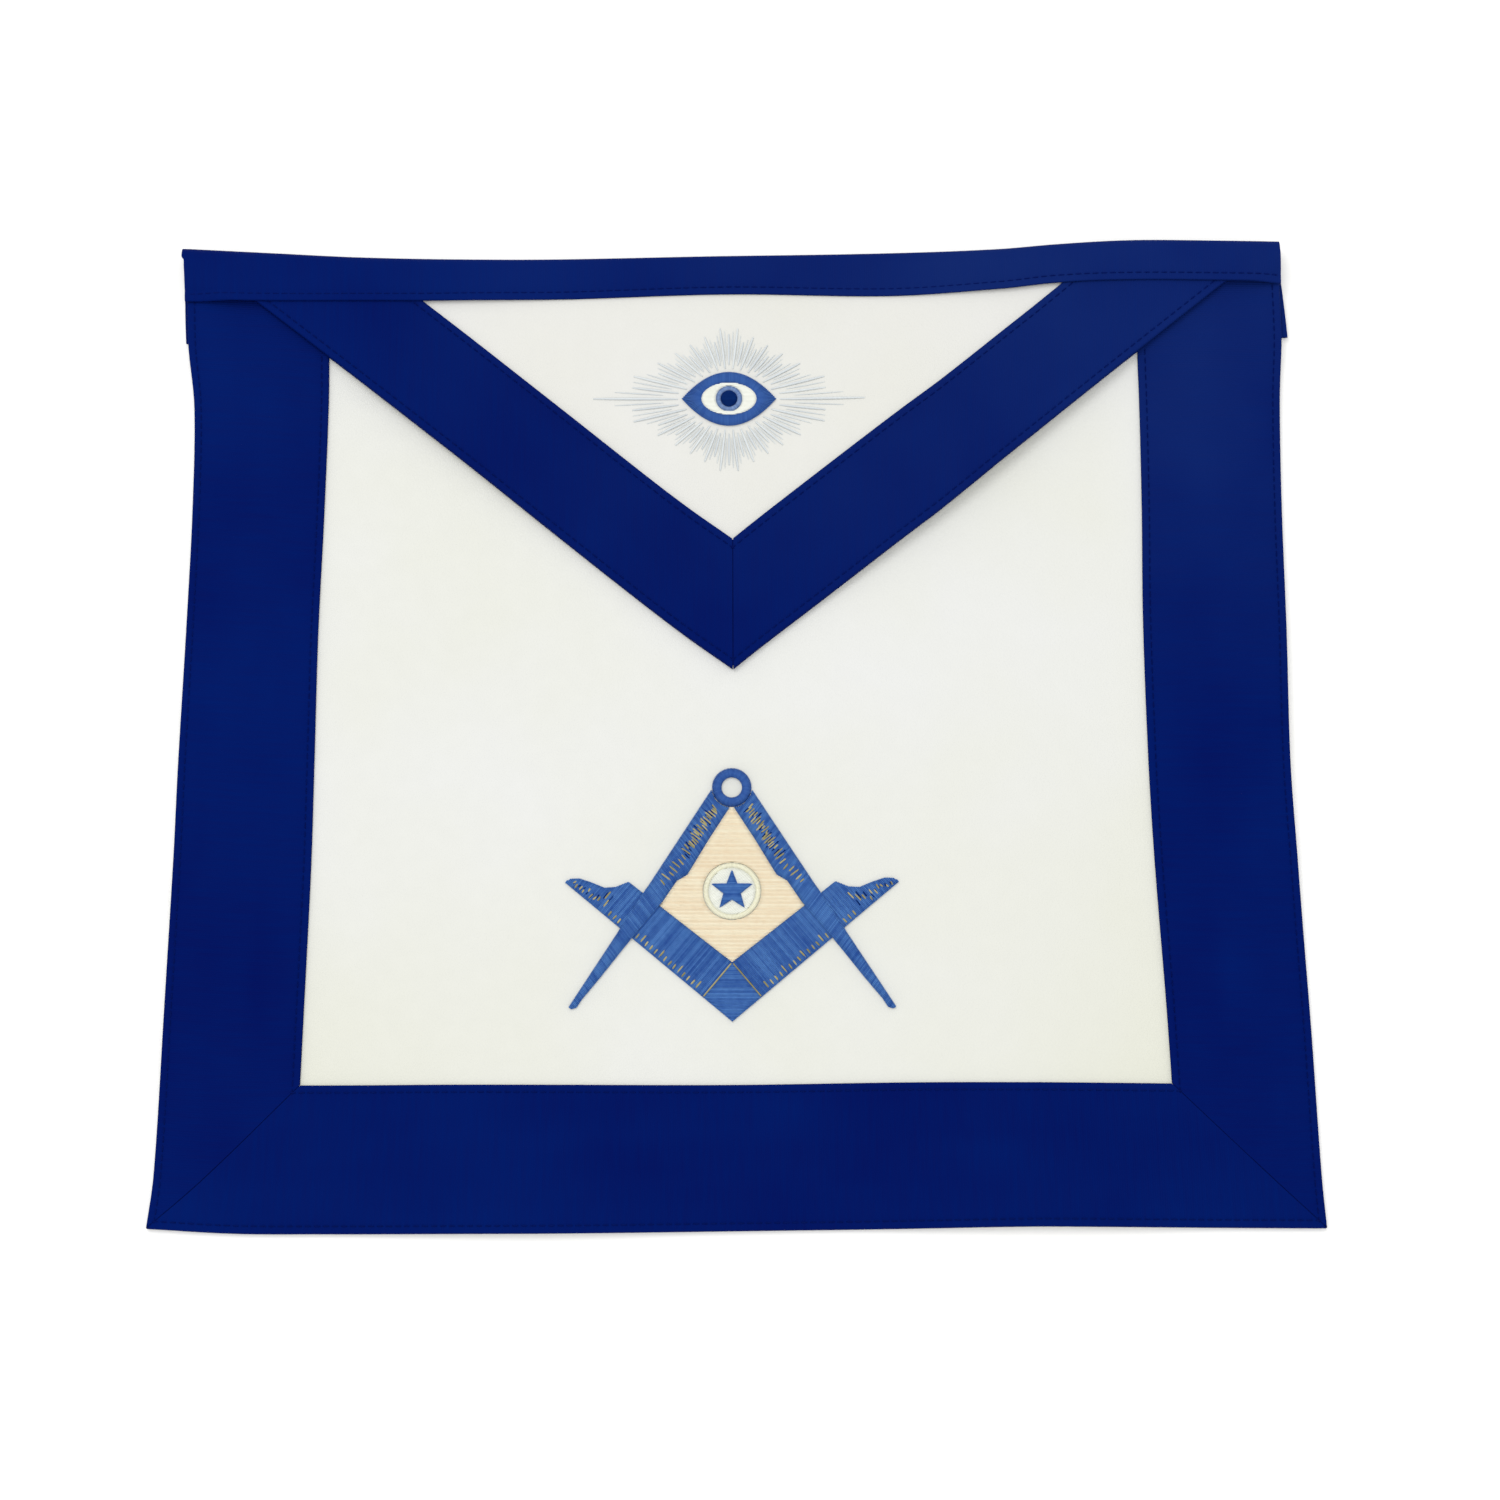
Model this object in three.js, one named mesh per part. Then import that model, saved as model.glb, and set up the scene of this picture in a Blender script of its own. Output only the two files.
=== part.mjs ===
// A white leather apron with a pointed flap, edged in navy ribbon and laid flat.
// Millimetres. X runs across the apron, Y up it towards the top fold, Z off the table.
// The origin is on the table, under the middle of the apron.
import * as THREE from 'three';
import { mergeVertices } from 'three/addons/utils/BufferGeometryUtils.js';

// Body and flap
const apronWidth = 406;
const apronHeight = 356;
const flapDepth = 157.5;
const flapTipDrift = -0.6;

// Ribbons
const borderWidth = 50;
const flapBorderWidth = 37.5;
const casingFront = 16;
const casingBack = 35;

// Walls, and the gaps that sewn layers keep
const leatherThickness = 1.2;
const ribbonThickness = 1;
const seamGap = 0.3;
const flapGap = 0.5;
const mitreGap = 0.4;
const edgeRounding = 0.8;

// How the laid apron strays from its flat rectangle
const sideDraw = 8;
const edgeWander = 5;
const swellHeight = 3;
const flapLiftHeight = 4;

// How far past the edge of a layer the one over it starts to come down, and over what
// length it does
const bodyMargin = 1;
const seatMargin = 4;
const bodySettle = 15;
const flapSettle = 56;
const sideSettle = 38;
const casingSettle = 34;
const emblemSettle = 22;

// Past the slanted edges of the flap the ends of the casing come down to the side ribbons
const casingDrop = 2.6;
const casingDropMargin = 4.5;
const casingDropSettle = 9;

// Square and compasses, raised embroidery on the body
const emblemOffset = -1.2;
const emblemClearance = 22;
const emblemThickness = 0.8;
const legThickness = 1.6;
const squareAngle = 40;
const squareWidth = 15.9;
const squareArm = 76.5;
const hingeHeight = 83;
const hingeRadius = 6.9;
const hingeHole = 3.7;
const legLength = 96.4;
const legAngle = 32.9;
const legWidth = 8.8;
const legOffset = 5.6;
const legRamp = 1.2;
const discRadius = 10;
const discHeight = 46;
const starRadius = 7.5;
const starPoints = 5;
const starWaist = 3.2;
const starThickness = 0.6;
const starCrown = 0.5;

// Eye, raised embroidery on the flap
const eyeDrop = 58.5;
const eyeOffset = -1.8;
const eyeWidth = 34;
const eyeHeight = 20;
const eyeOpeningWidth = 20;
const eyeOpeningHeight = 12;
const irisRadius = 4.7;
const pupilRadius = 3;
const irisCrown = 0.4;

// Mesh fineness: the longest cell of a sheet, and the sides of round and curved outlines
const bodyCell = 24;
const casingCell = 16;
const flapCell = 13;
const settleRows = 3;
const borderLanes = 2;
const flapBorderLanes = 3;
const legLanes = 4;
const foldSteps = 6;
const roundSides = 28;
const holeSides = 20;
const almondSteps = 14;

// The side edges and the inner edges of the side ribbons are drawn in: shares of sideDraw,
// up the apron from 0 to 1.
const sideTable = [
  { up: 0.0, left: 0.0, leftInner: 0.0, right: 0.0, rightInner: 0.05 },
  { up: 0.05, left: 0.25, leftInner: 0.1, right: 0.14, rightInner: 0.1 },
  { up: 0.2, left: 0.5, leftInner: 0.3, right: 0.36, rightInner: 0.34 },
  { up: 0.36, left: 0.72, leftInner: 0.5, right: 0.68, rightInner: 0.7 },
  { up: 0.46, left: 0.78, leftInner: 0.53, right: 0.86, rightInner: 0.85 },
  { up: 0.6, left: 0.92, leftInner: 0.56, right: 0.8, rightInner: 0.91 },
  { up: 0.72, left: 1.03, leftInner: 0.7, right: 0.78, rightInner: 0.82 },
  { up: 0.83, left: 0.97, leftInner: 0.79, right: 0.7, rightInner: 0.8 },
  { up: 0.9, left: 0.62, leftInner: 0.79, right: 0.55, rightInner: 0.85 },
  { up: 1.0, left: 0.45, leftInner: 0.79, right: 0.62, rightInner: 0.85 },
];

// The top fold, the bottom edge and the sill, which is the inner edge of the bottom ribbon,
// wander: shares of edgeWander, across from -1 to 1. front is how deep the front leg of the
// casing reaches there, as a share of casingFront.
const edgeTable = [
  { across: -1.0, top: -0.15, bottom: 0.21, sill: 0.2, front: 1.27 },
  { across: -0.85, top: -0.5, bottom: -0.14, sill: 0.27, front: 1.2 },
  { across: -0.7, top: -0.86, bottom: -0.19, sill: 0.31, front: 1.1 },
  { across: -0.5, top: -1.03, bottom: -0.21, sill: 0.37, front: 1.03 },
  { across: -0.3, top: -1.02, bottom: -0.21, sill: 0.34, front: 1.0 },
  { across: 0.0, top: -0.75, bottom: -0.07, sill: 0.14, front: 0.96 },
  { across: 0.3, top: -0.52, bottom: 0.06, sill: 0.14, front: 1.07 },
  { across: 0.5, top: -0.27, bottom: 0.16, sill: 0.0, front: 1.01 },
  { across: 0.6, top: 0.0, bottom: 0.14, sill: -0.06, front: 0.97 },
  { across: 0.75, top: 0.21, bottom: 0.09, sill: -0.12, front: 1.0 },
  { across: 0.9, top: 0.11, bottom: 0.04, sill: -0.12, front: 1.0 },
  { across: 1.0, top: 0.01, bottom: 0.01, sill: -0.1, front: 1.0 },
];

// The slanted edges of the flap bow out a little: a share of edgeWander.
const flapTable = [
  { across: -0.7, sag: 0.0 },
  { across: -0.5, sag: -0.05 },
  { across: -0.33, sag: -0.24 },
  { across: -0.16, sag: -0.38 },
  { across: -0.08, sag: -0.36 },
  { across: 0.0, sag: -0.16 },
  { across: 0.06, sag: -0.12 },
  { across: 0.2, sag: -0.24 },
  { across: 0.3, sag: -0.34 },
  { across: 0.37, sag: -0.43 },
  { across: 0.5, sag: -0.25 },
  { across: 0.68, sag: -0.04 },
  { across: 0.85, sag: 0.0 },
];

// Low swells where the laid apron stands off the table. Places and reaches are shares of
// the half width and of the height, rise is a share of swellHeight.
const swellTable = [
  { across: -1.05, up: 0.34, reachAcross: 0.42, reachUp: 0.3, rise: 1.0 },
  { across: 1.05, up: 0.5, reachAcross: 0.42, reachUp: 0.26, rise: 0.9 },
  { across: -0.36, up: -0.03, reachAcross: 0.34, reachUp: 0.22, rise: 0.6 },
  { across: 0.52, up: -0.03, reachAcross: 0.36, reachUp: 0.24, rise: 0.8 },
  { across: -0.3, up: 1.05, reachAcross: 0.5, reachUp: 0.3, rise: 0.5 },
  { across: 1.0, up: 1.05, reachAcross: 0.55, reachUp: 0.3, rise: 0.8 },
];

// The flap stands off the body along its edges, as a share of flapLiftHeight.
const flapLiftTable = [
  { across: 0.42, up: 0.74, reachAcross: 0.42, reachUp: 0.24, rise: 1.0 },
  { across: -0.45, up: 0.76, reachAcross: 0.34, reachUp: 0.2, rise: 0.3 },
];

// How far the ends of the casing stick out past the body at each side.
const casingEnds = {
  left: { atFront: 0.6, atFold: 1.2, atBack: 1.0 },
  right: { atFront: 0.3, atFold: 0.3, atBack: 2.4 },
};

// One arm of the square, from the corner to its pointed end: along is a share of
// squareArm and width of squareWidth.
const armTable = [
  { along: 0.778, width: 0.91 },
  { along: 0.792, width: 0.79 },
  { along: 0.808, width: 0.64 },
  { along: 0.845, width: 0.47 },
  { along: 0.91, width: 0.37 },
  { along: 0.962, width: 0.27 },
  { along: 0.99, width: 0.15 },
  { along: 1.0, width: 0.04 },
];

// One leg of the compasses from the hinge to its point: along is a share of legLength,
// width of legWidth.
const legTable = [
  { along: 0.0, width: 1.0 },
  { along: 0.2, width: 1.0 },
  { along: 0.36, width: 1.06 },
  { along: 0.4, width: 0.84 },
  { along: 0.5, width: 0.82 },
  { along: 0.66, width: 0.6 },
  { along: 0.72, width: 0.53 },
  { along: 0.85, width: 0.4 },
  { along: 0.95, width: 0.27 },
  { along: 0.985, width: 0.27 },
  { along: 1.0, width: 0.14 },
];

// Share of the flap's fan that is cut off at its tip, under the mitre.
const tipTrim = 0.03;

const halfWidth = apronWidth / 2;
const halfHeight = apronHeight / 2;
const innerWidth = halfWidth - borderWidth;
const ribbonLayer = ribbonThickness + seamGap;
const edgeInset = ribbonThickness + seamGap;
const cornerStack = 4 * ribbonThickness + 2 * leatherThickness + 4 * seamGap + flapGap;
const foldRoom = cornerStack / 2 + 2 * seamGap;
const tip = { x: flapTipDrift, y: halfHeight - flapDepth };
const squareTurn = THREE.MathUtils.degToRad(squareAngle);
const legTurn = THREE.MathUtils.degToRad(legAngle);
const emblemFoot = { x: emblemOffset, y: borderWidth + emblemClearance - halfHeight };
const hingeCentre = { x: emblemFoot.x, y: emblemFoot.y + hingeHeight };
const discCentre = { x: emblemFoot.x, y: emblemFoot.y + discHeight };
const eyeCentre = { x: eyeOffset, y: halfHeight - eyeDrop };

const leather = { color: 0xefeee9, roughness: 0.62, metalness: 0 };
const flapLeather = { color: 0xecebe0, roughness: 0.6, metalness: 0 };
const navyRibbon = { color: 0x06195f, roughness: 0.55, metalness: 0 };
const blueThread = { color: 0x2f5fa8, roughness: 0.5, metalness: 0 };
const creamThread = { color: 0xeedcb8, roughness: 0.6, metalness: 0 };
const whiteThread = { color: 0xf4f3ec, roughness: 0.6, metalness: 0 };
const darkThread = { color: 0x0d2e64, roughness: 0.5, metalness: 0 };

const apron = new THREE.Group();
apron.name = 'apron';

// The rows of a table before and after a place, and the share of the way between them.
function rowsAround(table, key, at) {
  const last = table.length - 1;
  const place = THREE.MathUtils.clamp(at, table[0][key], table[last][key]);
  const next = Math.max(1, table.findIndex((row) => row[key] >= place));
  const span = table[next][key] - table[next - 1][key];
  return { next, span, share: (place - table[next - 1][key]) / span };
}

// Reads a column of a table along straight lines between its rows.
function readStraight(table, key, at, column) {
  const { next, share } = rowsAround(table, key, at);
  return THREE.MathUtils.lerp(table[next - 1][column], table[next][column], share);
}

// Reads a column of a table along a smooth curve through its rows.
function read(table, key, at, column) {
  const { next, span, share } = rowsAround(table, key, at);
  const slope = (i) => {
    const before = table[Math.max(i - 1, 0)];
    const after = table[Math.min(i + 1, table.length - 1)];
    return (after[column] - before[column]) / (after[key] - before[key]);
  };
  const rest = 1 - share;
  const level = readStraight(table, key, at, column);
  const rise = (table[next][column] - table[next - 1][column]) / span;
  const bend = rest * (slope(next - 1) - rise) - share * (slope(next) - rise);
  return level + span * share * rest * bend;
}

// Where a point of the flat rectangle lies once the apron is on the table: a is across
// from the middle, b is up from the bottom edge.
function lay(a, b) {
  const across = a / halfWidth;
  const up = b / apronHeight;
  const side = a < 0 ? 'left' : 'right';
  const inner = read(sideTable, 'up', up, `${side}Inner`);
  const outer = read(sideTable, 'up', up, side);
  const past = (Math.abs(a) - innerWidth) / borderWidth;
  const drawn = past < 0 ? (inner * Math.abs(a)) / innerWidth : THREE.MathUtils.lerp(inner, outer, past);
  const top = up * read(edgeTable, 'across', across, 'top');
  const bottom = (1 - up) * read(edgeTable, 'across', across, 'bottom');
  const rise = THREE.MathUtils.smoothstep(b, 0, borderWidth) * fading(b - borderWidth, halfHeight);
  const sill = rise * read(edgeTable, 'across', across, 'sill');
  return { x: a - Math.sign(a) * sideDraw * drawn, y: b - halfHeight + edgeWander * (top + bottom + sill) };
}

function topEdge(x) {
  return halfHeight + edgeWander * read(edgeTable, 'across', x / halfWidth, 'top');
}

// The sum of soft bumps that end at their reach.
function bumps(table, x, y) {
  let sum = 0;
  for (const { across, up, reachAcross, reachUp, rise } of table) {
    const dx = (x / halfWidth - across) / reachAcross;
    const dy = ((y + halfHeight) / apronHeight - up) / reachUp;
    const room = Math.max(0, 1 - dx * dx - dy * dy);
    sum += rise * room * room;
  }
  return sum;
}

// How much of a layer is left below another past the edge it starts from, from 1 to 0.
function fading(distance, settle) {
  return 1 - THREE.MathUtils.smoothstep(distance, 0, settle);
}

// Underside of the whole apron above the table.
function tableClearance(x, y) {
  return swellHeight * bumps(swellTable, x, y);
}

// Underside of the body leather: it climbs onto the back leg of the casing.
function bodyUnder(x, y) {
  const past = topEdge(x) - y - casingBack - bodyMargin;
  return tableClearance(x, y) + ribbonLayer * fading(past, bodySettle);
}

function bodyOver(x, y) {
  return bodyUnder(x, y) + leatherThickness;
}

// Share of a side ribbon under the flap, from 1 over the ribbon to 0 on bare leather.
function sideRibbonShare(x, y) {
  const side = Math.sign(x) || 1;
  const inner = Math.abs(lay(side * innerWidth, y + halfHeight).x);
  return fading(inner - seatMargin - Math.abs(x), sideSettle);
}

// Height that the flap needs where it lies over the embroidered emblem.
function emblemShare(y) {
  return fading(y - hingeCentre.y - hingeRadius - seatMargin, emblemSettle);
}

// Underside of the flap leather, draped over what lies under it.
function flapUnder(x, y) {
  const past = topEdge(x) - y - casingBack - bodyMargin - bodySettle;
  const ribbons = fading(past, flapSettle) + sideRibbonShare(x, y);
  const emblem = (legThickness + seamGap) * emblemShare(y);
  const lift = flapLiftHeight * bumps(flapLiftTable, x, y);
  return tableClearance(x, y) + leatherThickness + flapGap + ribbonLayer * ribbons + emblem + lift;
}

function flapOver(x, y) {
  return flapUnder(x, y) + leatherThickness;
}

// The outer edges of the flap are straight lines from the top corners to its tip.
function flapEdge(side) {
  const corner = lay(side * halfWidth, apronHeight);
  const slope = (corner.y - tip.y) / Math.abs(corner.x - tip.x);
  return { side, slope, cosine: 1 / Math.hypot(1, slope) };
}

const flapEdges = { left: flapEdge(-1), right: flapEdge(1) };

// Distance of a point inside the flap's nearer slanted edge.
function insideFlap(x, y) {
  const edge = x < tip.x ? flapEdges.left : flapEdges.right;
  return (y - tip.y - Math.abs(x - tip.x) * edge.slope) * edge.cosine;
}

// How far the slanted edges bow away from a straight line.
function flapSag(x) {
  return edgeWander * read(flapTable, 'across', x / halfWidth, 'sag');
}

// Where the line at a distance inside a slanted edge meets the cut under the fold.
function flapTopPoint(edge, inset) {
  const reach = (y) => tip.x + (edge.side * (y - tip.y - inset / edge.cosine)) / edge.slope;
  let x = edge.side * halfWidth;
  for (let pass = 0; pass < 6; pass += 1) x = reach(topEdge(x) - foldRoom);
  return { x, y: topEdge(x) - foldRoom };
}

// Underside of the front leg of the casing, over the flap and its ribbons.
function casingUnder(x, y) {
  const inside = insideFlap(x, y);
  const ribbons = ribbonLayer * fading(inside - flapBorderWidth - seatMargin, casingSettle);
  const drop = casingDrop * (1 - fading(-inside - casingDropMargin, casingDropSettle));
  return flapOver(x, y) + seamGap + ribbons - drop;
}

// Even steps from one value to another, at most a cell long, both ends included.
function steps(from, to, cell) {
  const count = Math.max(1, Math.ceil(Math.abs(to - from) / cell));
  return Array.from({ length: count + 1 }, (_, i) => from + ((to - from) * i) / count);
}

// Joins lists of ascending values and drops what lies closer than a hair.
function ascending(...lists) {
  const hair = 0.01;
  const sorted = lists.flat().sort((p, q) => p - q);
  return sorted.filter((value, i) => i === 0 || value - sorted[i - 1] > hair);
}

// Makes a named mesh from points and triangles: doubles are merged, triangles that fell
// to a line are dropped and the shell is turned to face outwards.
function addMesh(name, points, triangles, material) {
  const raw = new THREE.BufferGeometry();
  raw.setAttribute('position', new THREE.Float32BufferAttribute(points.flat(), 3));
  raw.setIndex(triangles.flat());
  const merged = mergeVertices(raw, 1e-4);
  const place = merged.getAttribute('position');
  const corner = (i) => new THREE.Vector3().fromBufferAttribute(place, i);
  const kept = [];
  let volume = 0;
  for (let i = 0; i < merged.index.count; i += 3) {
    const [p, q, r] = [0, 1, 2].map((k) => merged.index.getX(i + k));
    if (p === q || q === r || p === r) continue;
    kept.push([p, q, r]);
    volume += corner(p).dot(corner(q).cross(corner(r)));
  }
  merged.setIndex((volume < 0 ? kept.map(([p, q, r]) => [p, r, q]) : kept).flat());
  merged.computeVertexNormals();
  const mesh = new THREE.Mesh(merged, new THREE.MeshStandardMaterial(material));
  mesh.name = name;
  apron.add(mesh);
}

// A sheet with thickness. Each section has as many points over as under, and the two
// run side by side; sections follow each other along the sheet.
function addSheet(name, sections, material) {
  const width = sections[0].over.length;
  const end = sections.length - 1;
  const points = sections.flatMap(({ over, under }) => [...over, ...under]);
  const triangles = [];
  const quad = (p, q, r, s) => triangles.push([p, q, r], [p, r, s]);
  const over = (k, j) => 2 * width * k + j;
  const under = (k, j) => over(k, j) + width;
  for (let k = 0; k < end; k += 1) {
    for (let j = 0; j + 1 < width; j += 1) {
      quad(over(k, j), over(k, j + 1), over(k + 1, j + 1), over(k + 1, j));
      quad(under(k + 1, j), under(k + 1, j + 1), under(k, j + 1), under(k, j));
    }
    quad(over(k, 0), over(k + 1, 0), under(k + 1, 0), under(k, 0));
    quad(over(k + 1, width - 1), over(k, width - 1), under(k, width - 1), under(k + 1, width - 1));
  }
  for (let j = 0; j + 1 < width; j += 1) {
    quad(over(0, j + 1), over(0, j), under(0, j), under(0, j + 1));
    quad(over(end, j), over(end, j + 1), under(end, j + 1), under(end, j));
  }
  addMesh(name, points, triangles, material);
}

// A flat-cut patch on a surface: an outline with holes, lifted onto the surface below.
function addPatch(name, outline, holes, under, thickness, material) {
  const turned = (ring, clockwise) => (
    THREE.ShapeUtils.isClockWise(ring) === clockwise ? ring : [...ring].reverse());
  const rings = [turned(outline, false), ...holes.map((hole) => turned(hole, true))];
  const flat = rings.flat();
  const caps = THREE.ShapeUtils.triangulateShape(rings[0], rings.slice(1));
  const base = flat.map(({ x, y }) => [x, y, under(x, y)]);
  const points = [...base, ...base.map(([x, y, z]) => [x, y, z + thickness])];
  const triangles = [];
  for (const [p, q, r] of caps) {
    triangles.push([p, r, q], [p + flat.length, q + flat.length, r + flat.length]);
  }
  let first = 0;
  for (const ring of rings) {
    ring.forEach((_, i) => {
      const p = first + i;
      const q = first + ((i + 1) % ring.length);
      triangles.push([p, q, q + flat.length], [p, q + flat.length, p + flat.length]);
    });
    first += ring.length;
  }
  addMesh(name, points, triangles, material);
}

// A round or starlike boss, crowned towards its middle.
function addBoss(name, centre, outline, under, thickness, crown, material) {
  const count = outline.length;
  const base = outline.map(({ x, y }) => [x, y, under(x, y)]);
  const floor = under(centre.x, centre.y);
  const points = [...base, ...base.map(([x, y, z]) => [x, y, z + thickness])];
  points.push([centre.x, centre.y, floor], [centre.x, centre.y, floor + thickness + crown]);
  const triangles = [];
  for (let p = 0; p < count; p += 1) {
    const q = (p + 1) % count;
    triangles.push([p, q, q + count], [p, q + count, p + count]);
    triangles.push([q, p, 2 * count], [p + count, q + count, 2 * count + 1]);
  }
  addMesh(name, points, triangles, material);
}

// Points round a centre, at a radius given for each turn's number.
function around(centre, count, start, radiusAt) {
  return Array.from({ length: count }, (_, i) => {
    const turn = start + (2 * Math.PI * i) / count;
    const radius = radiusAt(i);
    return new THREE.Vector2(centre.x + radius * Math.cos(turn), centre.y + radius * Math.sin(turn));
  });
}

function circle(centre, radius, count) {
  return around(centre, count, 0, () => radius);
}

// Rows and columns that the body leather and its ribbons share, so that they nest.
function bodyRows(from, to) {
  const foot = apronHeight - casingBack - bodyMargin;
  const settle = steps(foot - bodySettle, foot, bodySettle / settleRows);
  const middle = steps(borderWidth, foot - bodySettle, bodyCell);
  return ascending([from, borderWidth / 2], middle, settle, steps(foot, to, bodyCell));
}

function bodyColumns(reach) {
  const middle = steps(-innerWidth, innerWidth, bodyCell);
  const half = halfWidth - borderWidth / 2;
  return [-reach, -half, ...middle, half, reach];
}

function makeBody() {
  const columns = bodyColumns(halfWidth - edgeInset);
  const place = (a, b, height) => {
    const { x, y } = lay(a, b);
    return [x, y, height(x, y)];
  };
  const sections = bodyRows(edgeInset, apronHeight - foldRoom).map((b) => ({
    over: columns.map((a) => place(a, b, bodyOver)),
    under: columns.map((a) => place(a, b, bodyUnder)),
  }));
  addSheet('body_panel', sections, leather);
}

// The section of a ribbon that turns down over the cut edge of the leather: inset is the
// distance from the outer edge, drop is measured down from the ribbon's face.
function ribbonSection(width, lanes) {
  const face = steps(width, 0, width / lanes).slice(0, -1);
  const over = face.map((inset) => ({ inset, drop: 0 }));
  const under = face.map((inset) => ({ inset, drop: ribbonThickness }));
  const turn = { inset: ribbonThickness, drop: ribbonThickness };
  over.push({ inset: edgeRounding, drop: 0 }, { inset: 0, drop: edgeRounding }, { inset: 0, foot: true });
  under.push(turn, turn, { inset: ribbonThickness, foot: true });
  return { over, under };
}

// A point of that section, over the leather that the ribbon edges.
function ribbonPoint({ x, y }, lane, leatherUnder) {
  const floor = leatherUnder(x, y);
  const face = floor + leatherThickness + ribbonLayer;
  return [x, y, lane.foot ? floor : face - lane.drop];
}

// A ribbon as a sheet: place gives the plan point of a lane of its section at each station.
function addRibbon(name, section, stations, place, leatherUnder) {
  const lanesAt = (lanes, station) => (
    lanes.map((lane) => ribbonPoint(place(lane.inset, station), lane, leatherUnder)));
  const sections = stations.map((station) => ({
    over: lanesAt(section.over, station),
    under: lanesAt(section.under, station),
  }));
  addSheet(name, sections, navyRibbon);
}

function makeSideBorder(name, side) {
  const place = (inset, b) => lay(side * (halfWidth - inset), Math.max(b, inset + mitreGap / 2));
  const rows = bodyRows(0, apronHeight - foldRoom);
  addRibbon(name, ribbonSection(borderWidth, borderLanes), rows, place, bodyUnder);
}

function makeBottomBorder() {
  const place = (inset, a) => {
    const reach = halfWidth - inset - mitreGap / 2;
    return lay(THREE.MathUtils.clamp(a, -reach, reach), inset);
  };
  const columns = bodyColumns(halfWidth);
  addRibbon('border_bottom', ribbonSection(borderWidth, borderLanes), columns, place, bodyUnder);
}

function makeFlap() {
  const start = flapTopPoint(flapEdges.left, edgeInset);
  const end = flapTopPoint(flapEdges.right, edgeInset);
  const apex = { x: tip.x, y: tip.y + edgeInset / flapEdges.left.cosine };
  const columns = steps(start.x, end.x, flapCell);
  const place = (x, row, height) => {
    const px = THREE.MathUtils.lerp(x, apex.x, row);
    const drop = THREE.MathUtils.smoothstep(row, 0, 0.5) * flapSag(px);
    const py = THREE.MathUtils.lerp(topEdge(x) - foldRoom, apex.y, row) + drop;
    return [px, py, height(px, py)];
  };
  const sections = steps(0, 1 - tipTrim, flapCell / flapDepth).map((row) => ({
    over: columns.map((x) => place(x, row, flapOver)),
    under: columns.map((x) => place(x, row, flapUnder)),
  }));
  addSheet('flap_panel', sections, flapLeather);
}

// A ribbon along one slanted edge of the flap, mitred down the middle of the tip.
function makeFlapBorder(name, edge) {
  const place = (inset, along) => {
    const top = flapTopPoint(edge, inset);
    if (along === 0) return top;
    const x = THREE.MathUtils.lerp(top.x, tip.x + (edge.side * mitreGap) / 2, along);
    return { x, y: tip.y + Math.abs(x - tip.x) * edge.slope + inset / edge.cosine + flapSag(x) };
  };
  const stations = steps(0, 1, (flapCell * edge.cosine) / halfWidth);
  addRibbon(name, ribbonSection(flapBorderWidth, flapBorderLanes), stations, place, flapUnder);
}

// The casing is one ribbon folded over the top edge: a front leg, a round fold and a
// deeper back leg whose ends stick out past the body.
function makeCasing() {
  const casingOver = (x, y) => casingUnder(x, y) + ribbonThickness;
  const backOver = (x, y) => tableClearance(x, y) + ribbonThickness;
  const sectionAt = (a) => {
    const ends = a < 0 ? casingEnds.left : casingEnds.right;
    const stretch = (overhang) => (a * (halfWidth + overhang)) / halfWidth;
    const fold = lay(stretch(ends.atFold), apronHeight);
    const floor = tableClearance(fold.x, fold.y - foldRoom);
    const radius = (casingOver(fold.x, fold.y - foldRoom) - floor) / 2;
    const depth = casingFront * read(edgeTable, 'across', a / halfWidth, 'front');
    const leg = (drop, overhang, outer, inner) => {
      const { x, y } = lay(stretch(overhang), apronHeight - drop);
      return { over: [x, y, outer(x, y)], under: [x, y, inner(x, y)] };
    };
    const front = (drop) => leg(drop, ends.atFront, casingOver, casingUnder);
    const back = (drop) => {
      const overhang = THREE.MathUtils.mapLinear(drop, radius, casingBack, ends.atFold, ends.atBack);
      return leg(drop, overhang, tableClearance, backOver);
    };
    const arc = (turn) => {
      const at = (r) => [fold.x, fold.y - radius + r * Math.sin(turn), floor + radius + r * Math.cos(turn)];
      return { over: at(radius), under: at(radius - ribbonThickness) };
    };
    const frontLanes = [depth, (depth + radius) / 2].map(front);
    const foldLanes = steps(0, Math.PI, Math.PI / foldSteps).map(arc);
    const backLanes = [(casingBack + radius) / 2, casingBack].map(back);
    const lanes = [...frontLanes, ...foldLanes, ...backLanes];
    return { over: lanes.map((lane) => lane.over), under: lanes.map((lane) => lane.under) };
  };
  const nearEnds = [casingCell / 2 - halfWidth, halfWidth - casingCell / 2];
  const sections = ascending(steps(-halfWidth, halfWidth, casingCell), nearEnds);
  addSheet('top_casing', sections.map(sectionAt), navyRibbon);
}

function threadUnder(x, y) {
  return bodyOver(x, y) + seamGap;
}

// A point of one arm of the square, along it from the outer corner and in from its outer edge.
function squarePoint(side, along, inset) {
  const x = along * Math.cos(squareTurn) - inset * Math.sin(squareTurn);
  const y = along * Math.sin(squareTurn) + inset * Math.cos(squareTurn);
  return new THREE.Vector2(emblemFoot.x + side * x, emblemFoot.y + y);
}

// Distance of a point inside the outer edge of the square's arm on that side.
function insideSquare(side, { x, y }) {
  const across = side * (x - emblemFoot.x);
  return (y - emblemFoot.y) * Math.cos(squareTurn) - across * Math.sin(squareTurn);
}

// The rows of an arm's pointed end, and the corner between the two arms on their inner side.
function armPoints(side) {
  return armTable.map(({ along, width }) => squarePoint(side, along * squareArm, width * squareWidth));
}

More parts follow.
